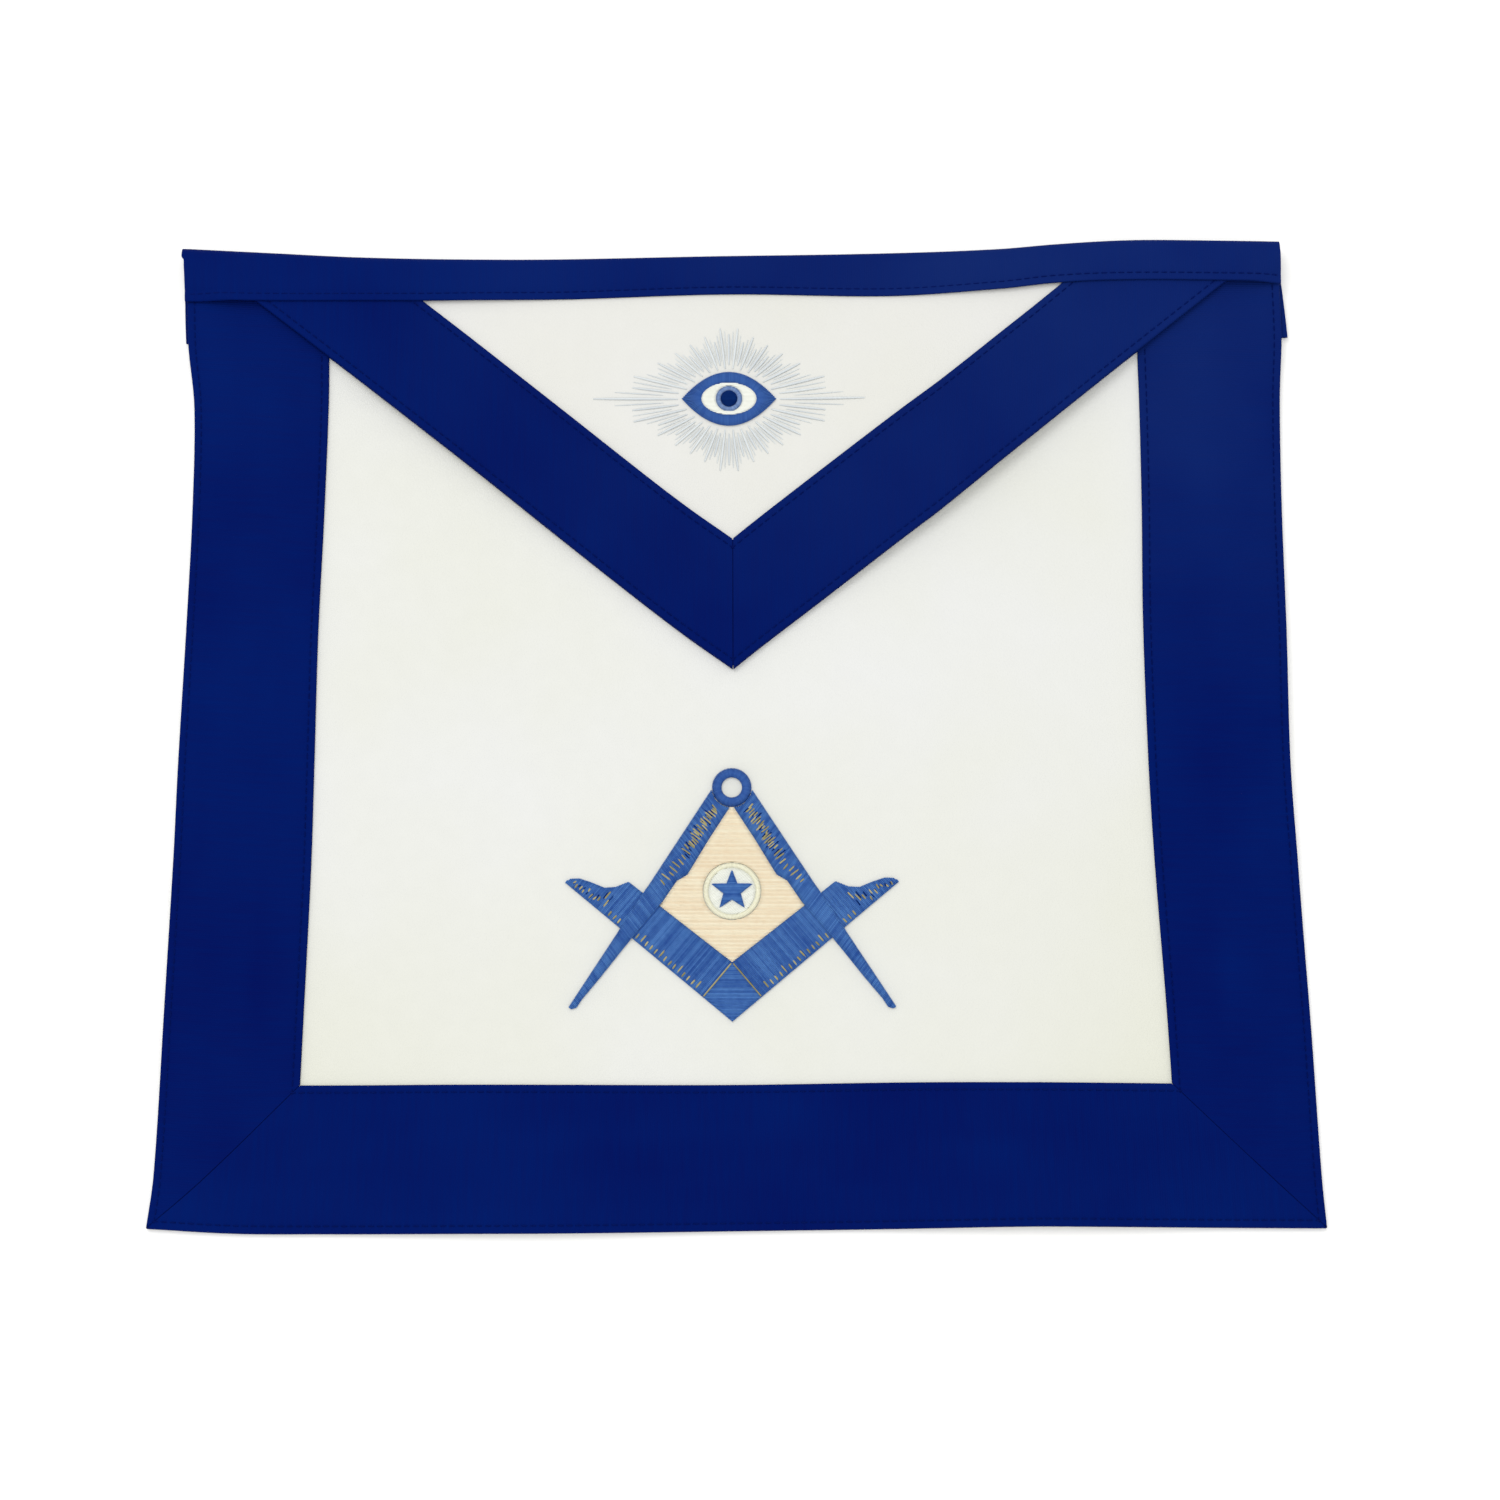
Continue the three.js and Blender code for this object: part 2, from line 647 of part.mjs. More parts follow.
function innerCorner(clearance) {
  return new THREE.Vector2(emblemFoot.x, emblemFoot.y + (squareWidth + clearance) / Math.cos(squareTurn));
}

function makeSquare() {
  const outerTip = (side) => squarePoint(side, squareArm, 0);
  const right = [squarePoint(1, 0, 0), outerTip(1), ...armPoints(1).reverse()];
  const outline = [...right, innerCorner(0), ...armPoints(-1), outerTip(-1)];
  addPatch('emblem_square', outline, [], threadUnder, emblemThickness, blueThread);
}

// A point of one leg: along it from beside the hinge, and in from its straight outer edge.
function legPoint(side, along, inset) {
  const out = legOffset - inset;
  const x = out * Math.cos(legTurn) + along * Math.sin(legTurn);
  const y = out * Math.sin(legTurn) - along * Math.cos(legTurn);
  return new THREE.Vector2(hingeCentre.x + side * x, hingeCentre.y + y);
}

// Where a lane of the leg leaves the round hinge, with a clearance.
function legStart(inset) {
  const out = legOffset - inset;
  return Math.sqrt(Math.max(0, (hingeRadius + seamGap) ** 2 - out * out));
}

function legWidthAt(along) {
  return legWidth * readStraight(legTable, 'along', along / legLength, 'width');
}

// Place along a lane of the leg that is at a distance inside the square's arm.
function legCrossing(side, inset, inside) {
  const from = insideSquare(side, legPoint(side, 0, inset));
  const to = insideSquare(side, legPoint(side, legLength, inset));
  return (legLength * (inside - from)) / (to - from);
}

// The leg climbs over the arm of the square that it crosses.
function legUnder(side, point) {
  const inside = insideSquare(side, point);
  const on = THREE.MathUtils.smoothstep(inside, -seamGap - legRamp, -seamGap);
  const off = fading(inside - squareWidth - seamGap, legRamp);
  return threadUnder(point.x, point.y) + (emblemThickness + seamGap) * on * off;
}

function makeLeg(name, side) {
  const lanes = steps(0, 1, 1 / legLanes);
  const plain = (along) => lanes.map((share) => legPoint(side, along, share * legWidthAt(along)));
  const begin = lanes.map((share) => legPoint(side, legStart(share * legWidth), share * legWidth));
  const crossing = (inside) => {
    const width = legWidthAt(legCrossing(side, legWidth / 2, inside));
    return lanes.map((share) => legPoint(side, legCrossing(side, share * width, inside), share * width));
  };
  const near = squareWidth + seamGap;
  const over = legCrossing(side, 0, near + 2 * legRamp);
  const under = legCrossing(side, legWidth, -seamGap - 2 * legRamp);
  const stations = legTable.map(({ along }) => along * legLength);
  const rows = [
    begin,
    ...stations.filter((along) => along > hingeRadius + legRamp && along < over).map(plain),
    ...[near + legRamp, near, -seamGap, -seamGap - legRamp].map(crossing),
    ...stations.filter((along) => along > under).map(plain),
  ];
  const sections = rows.map((row) => ({
    over: row.map(({ x, y }) => [x, y, threadUnder(x, y) + legThickness]),
    under: row.map((point) => [point.x, point.y, legUnder(side, point)]),
  }));
  addSheet(name, sections, blueThread);
}

function makeHinge() {
  const outline = circle(hingeCentre, hingeRadius, roundSides);
  const hole = circle(hingeCentre, hingeHole, holeSides);
  addPatch('compass_hinge', outline, [hole], threadUnder, legThickness, blueThread);
}

// Where the line through two points crosses the line through two others.
function meeting(p, q, r, s) {
  const [along, other] = [q.clone().sub(p), s.clone().sub(r)];
  const share = r.clone().sub(p).cross(other) / along.cross(other);
  return p.clone().addScaledVector(along, share);
}

// The cream field between the legs and the square, with a round hole for the white disc.
function makeField() {
  const low = innerCorner(seamGap);
  const raise = low.clone().sub(innerCorner(0));
  const side = (hand) => {
    const edgePoint = (along) => legPoint(hand, along, legWidthAt(along) + seamGap);
    const crossing = legCrossing(hand, legWidth, squareWidth);
    const stations = legTable.map(({ along }) => along * legLength);
    const edge = stations.filter((along) => along > hingeRadius + legRamp && along < crossing - legRamp);
    const last = edge[edge.length - 1];
    const armEnd = armPoints(hand)[0].add(raise);
    const corner = meeting(edgePoint(last), edgePoint(crossing), low, armEnd);
    return [edgePoint(legStart(legWidth) + seamGap), ...edge.map(edgePoint), corner];
  };
  const outline = [...side(-1), low, ...side(1).reverse()];
  const hole = circle(discCentre, discRadius + seamGap, roundSides);
  addPatch('emblem_field', outline, [hole], threadUnder, emblemThickness, creamThread);
}

function makeDiscAndStar() {
  const disc = circle(discCentre, discRadius, roundSides);
  addBoss('emblem_disc', discCentre, disc, threadUnder, emblemThickness, 0, whiteThread);
  const star = around(discCentre, 2 * starPoints, Math.PI / 2, (i) => (i % 2 ? starWaist : starRadius));
  const onDisc = (x, y) => threadUnder(x, y) + emblemThickness + seamGap;
  addBoss('emblem_star', discCentre, star, onDisc, starThickness, starCrown, blueThread);
}

// The eye: a pointed almond ring, and the iris with its pupil in the opening.
function makeEye() {
  const under = (x, y) => flapOver(x, y) + seamGap;
  const almondPoint = (share, rise) => new THREE.Vector2(
    eyeCentre.x + (share * eyeWidth) / 2,
    eyeCentre.y + (rise * (1 - share * share) * eyeHeight) / 2,
  );
  const shares = steps(1, -1, 2 / almondSteps);
  const upper = shares.slice(0, -1).map((share) => almondPoint(share, 1));
  const lower = shares.slice(0, -1).map((share) => almondPoint(-share, -1));
  const stretch = new THREE.Vector2(eyeOpeningWidth / 2, eyeOpeningHeight / 2);
  const round = circle({ x: 0, y: 0 }, 1, roundSides);
  const opening = round.map((point) => point.multiply(stretch).add(eyeCentre));
  addPatch('eye_outline', [...upper, ...lower], [opening], under, emblemThickness, blueThread);
  const iris = circle(eyeCentre, irisRadius, roundSides);
  const irisHole = circle(eyeCentre, pupilRadius + seamGap, holeSides);
  addPatch('eye_iris', iris, [irisHole], under, emblemThickness, blueThread);
  const pupil = circle(eyeCentre, pupilRadius, holeSides);
  addBoss('eye_pupil', eyeCentre, pupil, under, emblemThickness, irisCrown, darkThread);
}

makeBody();
makeSideBorder('border_left', -1);
makeSideBorder('border_right', 1);
makeBottomBorder();
makeFlap();
makeFlapBorder('flap_border_left', flapEdges.left);
makeFlapBorder('flap_border_right', flapEdges.right);
makeCasing();
makeSquare();
makeLeg('compass_leg_left', -1);
makeLeg('compass_leg_right', 1);
makeHinge();
makeField();
makeDiscAndStar();
makeEye();

export default apron;
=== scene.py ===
# A white leather apron with a pointed flap and navy ribbon borders, laid flat on a pale table.
# The layout works in millimetres in the frame of the CAD, and the meshes are made in metres.
import math
import random

import bpy
import numpy as np
from mathutils import Matrix, Vector
from mathutils.geometry import delaunay_2d_cdt


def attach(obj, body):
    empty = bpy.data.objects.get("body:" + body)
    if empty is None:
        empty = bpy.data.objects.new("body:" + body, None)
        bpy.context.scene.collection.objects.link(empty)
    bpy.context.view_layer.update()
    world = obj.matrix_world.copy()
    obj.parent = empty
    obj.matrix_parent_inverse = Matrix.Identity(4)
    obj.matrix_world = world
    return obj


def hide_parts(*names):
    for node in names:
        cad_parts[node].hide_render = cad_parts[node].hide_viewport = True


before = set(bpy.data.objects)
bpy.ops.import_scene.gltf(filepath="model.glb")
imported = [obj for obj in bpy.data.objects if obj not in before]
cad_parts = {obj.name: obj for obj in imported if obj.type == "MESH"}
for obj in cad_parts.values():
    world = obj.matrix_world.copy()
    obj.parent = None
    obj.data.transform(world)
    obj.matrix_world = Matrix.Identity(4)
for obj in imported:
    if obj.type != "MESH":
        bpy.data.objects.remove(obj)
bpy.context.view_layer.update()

MM = 0.001

# Sizes of the apron
HEIGHT = 356
HALF_WIDTH = 203
HALF_HEIGHT = HEIGHT / 2
BORDER = 50
INNER_WIDTH = HALF_WIDTH - BORDER
FLAP_DEPTH = 157.5
FLAP_BORDER = 37.5
CASING_FRONT = 16
CASING_BACK = 35

# Layers and the room between them
LEATHER = 1.2
RIBBON = 1
SEAM_GAP = 0.3
FLAP_GAP = 0.5
MITRE_GAP = 0.4
RIBBON_LAYER = RIBBON + SEAM_GAP
EDGE_INSET = RIBBON + SEAM_GAP
FOLD_ROOM = 4.65

# How the laid apron strays from a flat rectangle, as in the CAD
SIDE_DRAW = 8
EDGE_WANDER = 5
SWELL = 3
FLAP_LIFT = 4
RIPPLE = 0.1
BODY_MARGIN, SEAT_MARGIN = 1, 4
BODY_SETTLE, FLAP_SETTLE, SIDE_SETTLE, CASING_SETTLE, EMBLEM_SETTLE = 15, 56, 38, 34, 22

# Up the apron: how far the left edge, its ribbon's inner edge, the right edge and its
# ribbon's inner edge are drawn in
SIDES = np.array([
    (0, 0, 0, 0, 0.05),
    (0.05, 0.25, 0.1, 0.14, 0.1),
    (0.2, 0.5, 0.3, 0.36, 0.34),
    (0.36, 0.72, 0.5, 0.68, 0.7),
    (0.46, 0.78, 0.53, 0.86, 0.85),
    (0.6, 0.92, 0.56, 0.8, 0.91),
    (0.72, 1.03, 0.7, 0.78, 0.82),
    (0.83, 0.97, 0.79, 0.7, 0.8),
    (0.9, 0.62, 0.79, 0.55, 0.85),
    (1, 0.45, 0.79, 0.62, 0.85),
])
LEFT, LEFT_INNER, RIGHT, RIGHT_INNER = 1, 2, 3, 4

# Across the apron: how far the top fold, the bottom edge and the bottom ribbon's inner edge
# wander, and the casing's depth
EDGES = np.array([
    (-1, -0.15, 0.21, 0.2, 1.27),
    (-0.85, -0.5, -0.14, 0.27, 1.2),
    (-0.7, -0.86, -0.19, 0.31, 1.1),
    (-0.5, -1.03, -0.21, 0.37, 1.03),
    (-0.3, -1.02, -0.21, 0.34, 1),
    (0, -0.75, -0.07, 0.14, 0.96),
    (0.3, -0.52, 0.06, 0.14, 1.07),
    (0.5, -0.27, 0.16, 0, 1.01),
    (0.6, 0, 0.14, -0.06, 0.97),
    (0.75, 0.21, 0.09, -0.12, 1),
    (0.9, 0.11, 0.04, -0.12, 1),
    (1, 0.01, 0.01, -0.1, 1),
])
TOP, BOTTOM, SILL, FRONT = 1, 2, 3, 4

# Across the flap: how far its slanted edges bow away from a straight line
FLAP_SAG = np.array([
    (-0.7, 0), (-0.5, -0.05), (-0.33, -0.24), (-0.16, -0.38), (-0.08, -0.36), (0, -0.16),
    (0.06, -0.12), (0.2, -0.24), (0.3, -0.34), (0.37, -0.43), (0.5, -0.25), (0.68, -0.04), (0.85, 0),
])

# Swells: place across and up, reach across and up, and share of the height
SWELLS = [
    (-1.05, 0.34, 0.42, 0.3, 1),
    (1.05, 0.5, 0.42, 0.26, 0.9),
    (-0.36, -0.03, 0.34, 0.22, 0.6),
    (0.52, -0.03, 0.36, 0.24, 0.8),
    (-0.3, 1.05, 0.5, 0.3, 0.5),
    (1, 1.05, 0.55, 0.3, 0.8),
]
FLAP_LIFTS = [
    (0.42, 0.74, 0.42, 0.24, 1),
    (-0.45, 0.76, 0.34, 0.2, 0.3),
]

# Ends of the casing past the body, at the front, at the fold and at the back
CASING_LEFT = (0.6, 1.2, 1)
CASING_RIGHT = (0.3, 0.3, 2.4)

# Past the slanted edges of the flap the ends of the casing come down to the side ribbons
CASING_DROP, DROP_MARGIN, DROP_SETTLE = 2.6, 4.5, 9

# Emblem: square and compasses
EMBLEM_FOOT = np.array([-1.2, BORDER + 22 - HALF_HEIGHT])
EMBLEM_RISE = 0.8
SQUARE_TURN = math.radians(40)
SQUARE_WIDTH = 15.9
SQUARE_ARM = 76.5
SQUARE_END = [
    (0.778, 0.91), (0.792, 0.79), (0.808, 0.64), (0.845, 0.47),
    (0.91, 0.37), (0.962, 0.27), (0.99, 0.15), (1, 0.04),
]
HINGE = EMBLEM_FOOT + (0, 83)
HINGE_RADIUS = 6.9
HINGE_HOLE = 3.7
LEG_RISE = 1.6
LEG_LENGTH = 96.4
LEG_TURN = math.radians(32.9)
LEG_WIDTH = 8.8
LEG_OFFSET = 5.6
LEG_SHAPE = np.array([
    (0, 1), (0.2, 1), (0.36, 1.06), (0.4, 0.84), (0.5, 0.82), (0.66, 0.6),
    (0.72, 0.53), (0.85, 0.4), (0.95, 0.27), (0.985, 0.27), (1, 0.14),
])
DISC = EMBLEM_FOOT + (0, 46)
DISC_RADIUS = 10
STAR_RADIUS = 7.5
STAR_WAIST = 3.2
FIELD_GAP = 0.08
RIM_WIDTH = 1.7

# Eye on the flap
EYE = np.array([-1.8, HALF_HEIGHT - 58.5])
EYE_WIDTH, EYE_HEIGHT = 34, 20
EYE_OPENING = np.array([10, 6])
IRIS_RADIUS = 4.7
PUPIL_RADIUS = 3

ROLL = random.Random(7)


# The layout

def read(table, column, at):
    """Reads a column of a table along a smooth curve through its rows."""
    keys, levels = table[:, 0], table[:, column]
    at = np.clip(at, keys[0], keys[-1])
    after = np.clip(np.searchsorted(keys, at), 1, len(keys) - 1)
    before = after - 1
    row = np.arange(len(keys))
    ahead, behind = np.minimum(row + 1, row[-1]), np.maximum(row - 1, 0)
    slope = (levels[ahead] - levels[behind]) / (keys[ahead] - keys[behind])
    span = keys[after] - keys[before]
    share = (at - keys[before]) / span
    rest = 1 - share
    rise = (levels[after] - levels[before]) / span
    bend = rest * (slope[before] - rise) - share * (slope[after] - rise)
    return levels[before] + span * share * (rise + rest * bend)


def lay(a, b):
    """Where a point of the flat rectangle lies: a is across from the middle, b is up."""
    across, up = a / HALF_WIDTH, b / HEIGHT
    inner = np.where(a < 0, read(SIDES, LEFT_INNER, up), read(SIDES, RIGHT_INNER, up))
    outer = np.where(a < 0, read(SIDES, LEFT, up), read(SIDES, RIGHT, up))
    past = (np.abs(a) - INNER_WIDTH) / BORDER
    drawn = np.where(past < 0, inner * np.abs(a) / INNER_WIDTH, inner + (outer - inner) * past)
    wander = up * read(EDGES, TOP, across) + (1 - up) * read(EDGES, BOTTOM, across)
    rise = (1 - fading(b, BORDER)) * fading(b - BORDER, HALF_HEIGHT)
    wander = wander + rise * read(EDGES, SILL, across)
    return a - np.sign(a) * SIDE_DRAW * drawn, b - HALF_HEIGHT + EDGE_WANDER * wander


def top_edge(x):
    return HALF_HEIGHT + EDGE_WANDER * read(EDGES, TOP, x / HALF_WIDTH)


def bumps(table, x, y):
    total = 0
    for across, up, reach_across, reach_up, rise in table:
        dx = (x / HALF_WIDTH - across) / reach_across
        dy = ((y + HALF_HEIGHT) / HEIGHT - up) / reach_up
        total = total + rise * np.maximum(0, 1 - dx * dx - dy * dy) ** 2
    return total


def fading(distance, settle):
    share = np.clip(distance / settle, 0, 1)
    return 1 - share * share * (3 - 2 * share)


def table_clearance(x, y):
    ripple = 2 + np.sin(x / 31 + y / 47) + np.sin(x / 19 - y / 26 + 1.7)
    return SWELL * bumps(SWELLS, x, y) + RIPPLE * ripple


def above(floor, rise):
    return lambda x, y: floor(x, y) + rise


def body_under(x, y):
    past = top_edge(x) - y - CASING_BACK - BODY_MARGIN
    return table_clearance(x, y) + RIBBON_LAYER * fading(past, BODY_SETTLE)


def flap_under(x, y):
    past = top_edge(x) - y - CASING_BACK - BODY_MARGIN - BODY_SETTLE
    side = np.where(x < 0, -1, 1)
    inner = np.abs(lay(side * INNER_WIDTH, y + HALF_HEIGHT)[0])
    ribbons = fading(past, FLAP_SETTLE) + fading(inner - SEAT_MARGIN - np.abs(x), SIDE_SETTLE)
    over_emblem = fading(y - HINGE[1] - HINGE_RADIUS - SEAT_MARGIN, EMBLEM_SETTLE)
    lift = (LEG_RISE + SEAM_GAP) * over_emblem + FLAP_LIFT * bumps(FLAP_LIFTS, x, y)
    return table_clearance(x, y) + LEATHER + FLAP_GAP + RIBBON_LAYER * ribbons + lift


# Where embroidery lies, on the body and on the flap
thread_under = above(body_under, LEATHER + SEAM_GAP)
eye_under = above(flap_under, LEATHER + SEAM_GAP)

TIP = np.array([-0.6, HALF_HEIGHT - FLAP_DEPTH])


def flap_slope(side):
    x, y = lay(np.array(side * HALF_WIDTH), np.array(HEIGHT))
    return (y - TIP[1]) / abs(x - TIP[0])


FLAP_SLOPE = {side: flap_slope(side) for side in (-1, 1)}


def inside_flap(x, y):
    slope = np.where(x < TIP[0], FLAP_SLOPE[-1], FLAP_SLOPE[1])
    return (y - TIP[1] - np.abs(x - TIP[0]) * slope) / np.hypot(1, slope)


def flap_sag(x):
    return EDGE_WANDER * read(FLAP_SAG, 1, x / HALF_WIDTH)


def flap_top(side, inset):
    """Where the line at a distance inside a slanted edge meets the cut under the fold."""
    slope = FLAP_SLOPE[side]
    x = side * HALF_WIDTH + 0 * inset
    for _ in range(6):
        y = top_edge(x) - FOLD_ROOM
        x = TIP[0] + side * (y - TIP[1] - inset * np.hypot(1, slope)) / slope
    return x, top_edge(x) - FOLD_ROOM


def casing_under(x, y):
    inside = inside_flap(x, y)
    ribbons = RIBBON_LAYER * fading(inside - FLAP_BORDER - SEAT_MARGIN, CASING_SETTLE)
    drop = CASING_DROP * (1 - fading(-inside - DROP_MARGIN, DROP_SETTLE))
    return eye_under(x, y) + ribbons - drop


# Meshes

CELL = 2.2
CREASE = 50


def add_object(name, data):
    made = bpy.data.objects.new(name, data)
    bpy.context.collection.objects.link(made)
    return made


def new_mesh(name, points, edges, faces):
    """A mesh from points in millimetres."""
    mesh = bpy.data.meshes.new(name)
    mesh.from_pydata((points * MM).tolist(), edges, faces)
    return mesh


def quads(index):
    corners = (index[:-1, :-1], index[:-1, 1:], index[1:, 1:], index[1:, :-1])
    return np.stack(corners, -1).reshape(-1, 4)


def make_sheet(name, over, under, cloth):
    """A closed sheet between two grids of points, turned to face outwards. cloth is its UV map."""
    rows, columns = over.shape[:2]
    count = rows * columns
    index = np.arange(count).reshape(rows, columns)
    rim = np.concatenate([index[0], index[1:, -1], index[-1, -2::-1], index[-2:0:-1, 0]])
    following = np.roll(rim, -1)
    walls = np.stack([following, rim, rim + count, following + count], -1)
    face = quads(index)
    faces = np.concatenate([face, face[:, ::-1] + count, walls])
    points = np.concatenate([over.reshape(-1, 3), under.reshape(-1, 3)])
    p, q, r, s = (points[faces[:, i]] for i in range(4))
    if np.einsum("ij,ij->i", p, np.cross(q, r) + np.cross(r, s)).sum() < 0:
        faces = faces[:, ::-1]
    mesh = new_mesh(name, points, [], faces.tolist())
    corners = np.empty(len(mesh.loops), dtype=np.int64)
    mesh.loops.foreach_get("vertex_index", corners)
    layer = mesh.uv_layers.new(name="cloth")
    layer.data.foreach_set("uv", MM * cloth.reshape(-1, 2)[corners % count].ravel())
    mesh.shade_smooth()
    mesh.set_sharp_from_angle(angle=math.radians(CREASE))
    return add_object(name, mesh)


def grid(*axes):
    return np.stack(np.broadcast_arrays(*axes), -1).astype(float)


def even(start, end, cell):
    return np.linspace(start, end, max(2, math.ceil(abs(end - start) / cell) + 1))


# Leather

BLUNT_TIP = 0.97


def make_leather(name, x, y, under):
    return make_sheet(name, grid(x, y, under + LEATHER), grid(x, y, under), grid(x, y))


def make_body():
    reach = HALF_WIDTH - EDGE_INSET
    a, b = np.meshgrid(even(-reach, reach, CELL), even(EDGE_INSET, HEIGHT - FOLD_ROOM, CELL))
    x, y = lay(a, b)
    return make_leather("apron_body", x, y, body_under(x, y))


def make_flap():
    start, end = (flap_top(side, np.array(EDGE_INSET))[0] for side in (-1, 1))
    apex = TIP[1] + EDGE_INSET * np.hypot(1, FLAP_SLOPE[-1])
    across, row = np.meshgrid(even(start, end, CELL), even(0, BLUNT_TIP, CELL / FLAP_DEPTH))
    x = across + (TIP[0] - across) * row
    cut = top_edge(across) - FOLD_ROOM
    y = cut + (apex - cut) * row + (1 - fading(row, 0.5)) * flap_sag(x)
    return make_leather("apron_flap", x, y, flap_under(x, y))


# Ribbons

RIBBON_CELL = 1.8
RIBBON_STEPS = 210
SEAM_INSET = 2.6
SEAM_DIP = 0.2
SEAM_STEPS = np.array([0.9, 0.45, 0, -0.45, -0.9])
SEAM_DIPS = SEAM_DIP * np.array([0, 0.6, 1, 0.6, 0])
RIBBON_WAVE = 0.09
EDGE_ROUND = 0.8

# How far a face drops near its inner edge, at insets from that edge
EDGE_DROPS = {0: 0.5, 0.08: 0.2, 0.3: 0.04, 0.7: 0}


def ribbon_lanes(width):
    """Insets and drops of a ribbon's face, from its inner edge over its outer edge."""
    inner_seam = width - SEAM_INSET + SEAM_STEPS
    outer_seam = SEAM_INSET + SEAM_STEPS
    middle = even(inner_seam[-1], outer_seam[0], RIBBON_CELL)[1:-1]
    turns = np.radians((0, 25, 50, 70, 90))
    insets = [width - inset for inset in EDGE_DROPS]
    insets += [*inner_seam, *middle, *outer_seam, *(EDGE_ROUND * (1 - np.sin(turns)))]
    drops = [*EDGE_DROPS.values(), *SEAM_DIPS, *(0 * middle), *SEAM_DIPS]
    return np.array(insets), np.array([*drops, *(EDGE_ROUND * (1 - np.cos(turns)))])


def fullness(inset, width, along):
    """The slight waves of a ribbon between its seams."""
    wave = 1 + np.sin(along / 9 + 2 * np.sin(along / 37 + width))
    return RIBBON_WAVE * wave * np.sin(math.pi * inset / width) ** 2


def make_ribbon(name, width, place, below):
    """place gives the plan point and the place along the ribbon for each inset and share, and
    below the height of the leather's underside."""
    share = even(0, 1, 1 / RIBBON_STEPS)[:, None]

    def face(insets, drops):
        """A face with a lip at its outer edge, which goes down to the leather's underside."""
        x, y, along = place(insets[None, :], share)
        floor = below(x, y)
        z = floor + LEATHER + RIBBON_LAYER + fullness(insets, width, along) - drops
        lip = [axis[:, -1:] for axis in (x, y, floor)]
        return np.concatenate([grid(x, y, z), grid(*lip)], 1), along

    insets, drops = ribbon_lanes(width)
    over, along = face(insets, drops)
    under, _ = face(np.maximum(insets, RIBBON), RIBBON)
    across = np.append(insets, -RIBBON_LAYER - LEATHER)
    return make_sheet(name, over, under, grid(across, np.concatenate([along, along[:, -1:]], 1)))


def side_place(side):
    def place(inset, share):
        start = inset + MITRE_GAP / 2
        b = start + (HEIGHT - FOLD_ROOM - start) * share
        return (*lay(side * (HALF_WIDTH - inset) + 0 * b, b), b)
    return place


def bottom_place(inset, share):
    reach = HALF_WIDTH - inset - MITRE_GAP / 2
    a = reach * (2 * share - 1)
    return (*lay(a, inset + 0 * a), a)


def flap_place(side):
    def place(inset, share):
        top_x, top_y = flap_top(side, inset)
        x = top_x + (TIP[0] + side * MITRE_GAP / 2 - top_x) * share
        across, stretch = np.abs(x - TIP[0]), np.hypot(1, FLAP_SLOPE[side])
        line = TIP[1] + across * FLAP_SLOPE[side] + inset * stretch
        y = np.where(share == 0, top_y, line + flap_sag(x))
        return x, y, across * stretch
    return place


# Each ribbon's width, places, the leather's underside below it and its node, its length in
# metres and the share of a full rectangle that its mitres leave
RIBBONS = {
    "ribbon_left": (BORDER, side_place(-1), body_under, "border_left", 0.352, 0.93),
    "ribbon_right": (BORDER, side_place(1), body_under, "border_right", 0.352, 0.93),
    "ribbon_bottom": (BORDER, bottom_place, body_under, "border_bottom", 0.406, 0.86),
    "flap_ribbon_left": (FLAP_BORDER, flap_place(-1), flap_under, "flap_border_left", 0.246, 0.86),
    "flap_ribbon_right": (FLAP_BORDER, flap_place(1), flap_under, "flap_border_right", 0.246, 0.86),
}


def casing_front_depth(a):
    return CASING_FRONT * read(EDGES, FRONT, a / HALF_WIDTH)


CASING_CELL = 1.9

# Drops of the casing's front leg at its rim and seam, and its plain stations after them
CASING_DIPS = {**EDGE_DROPS, 1.7: 0, 2.15: 0.12, SEAM_INSET: SEAM_DIP, 3.05: 0.12, 3.5: 0}
CASING_PLAIN = np.linspace(5, 10.6, 5)

# Along the casing's cloth: its front leg, its fold for each radian, and its back leg
FRONT_CLOTH, FOLD_CLOTH, BACK_START, BACK_CLOTH = 11.4, 5, 27, 30


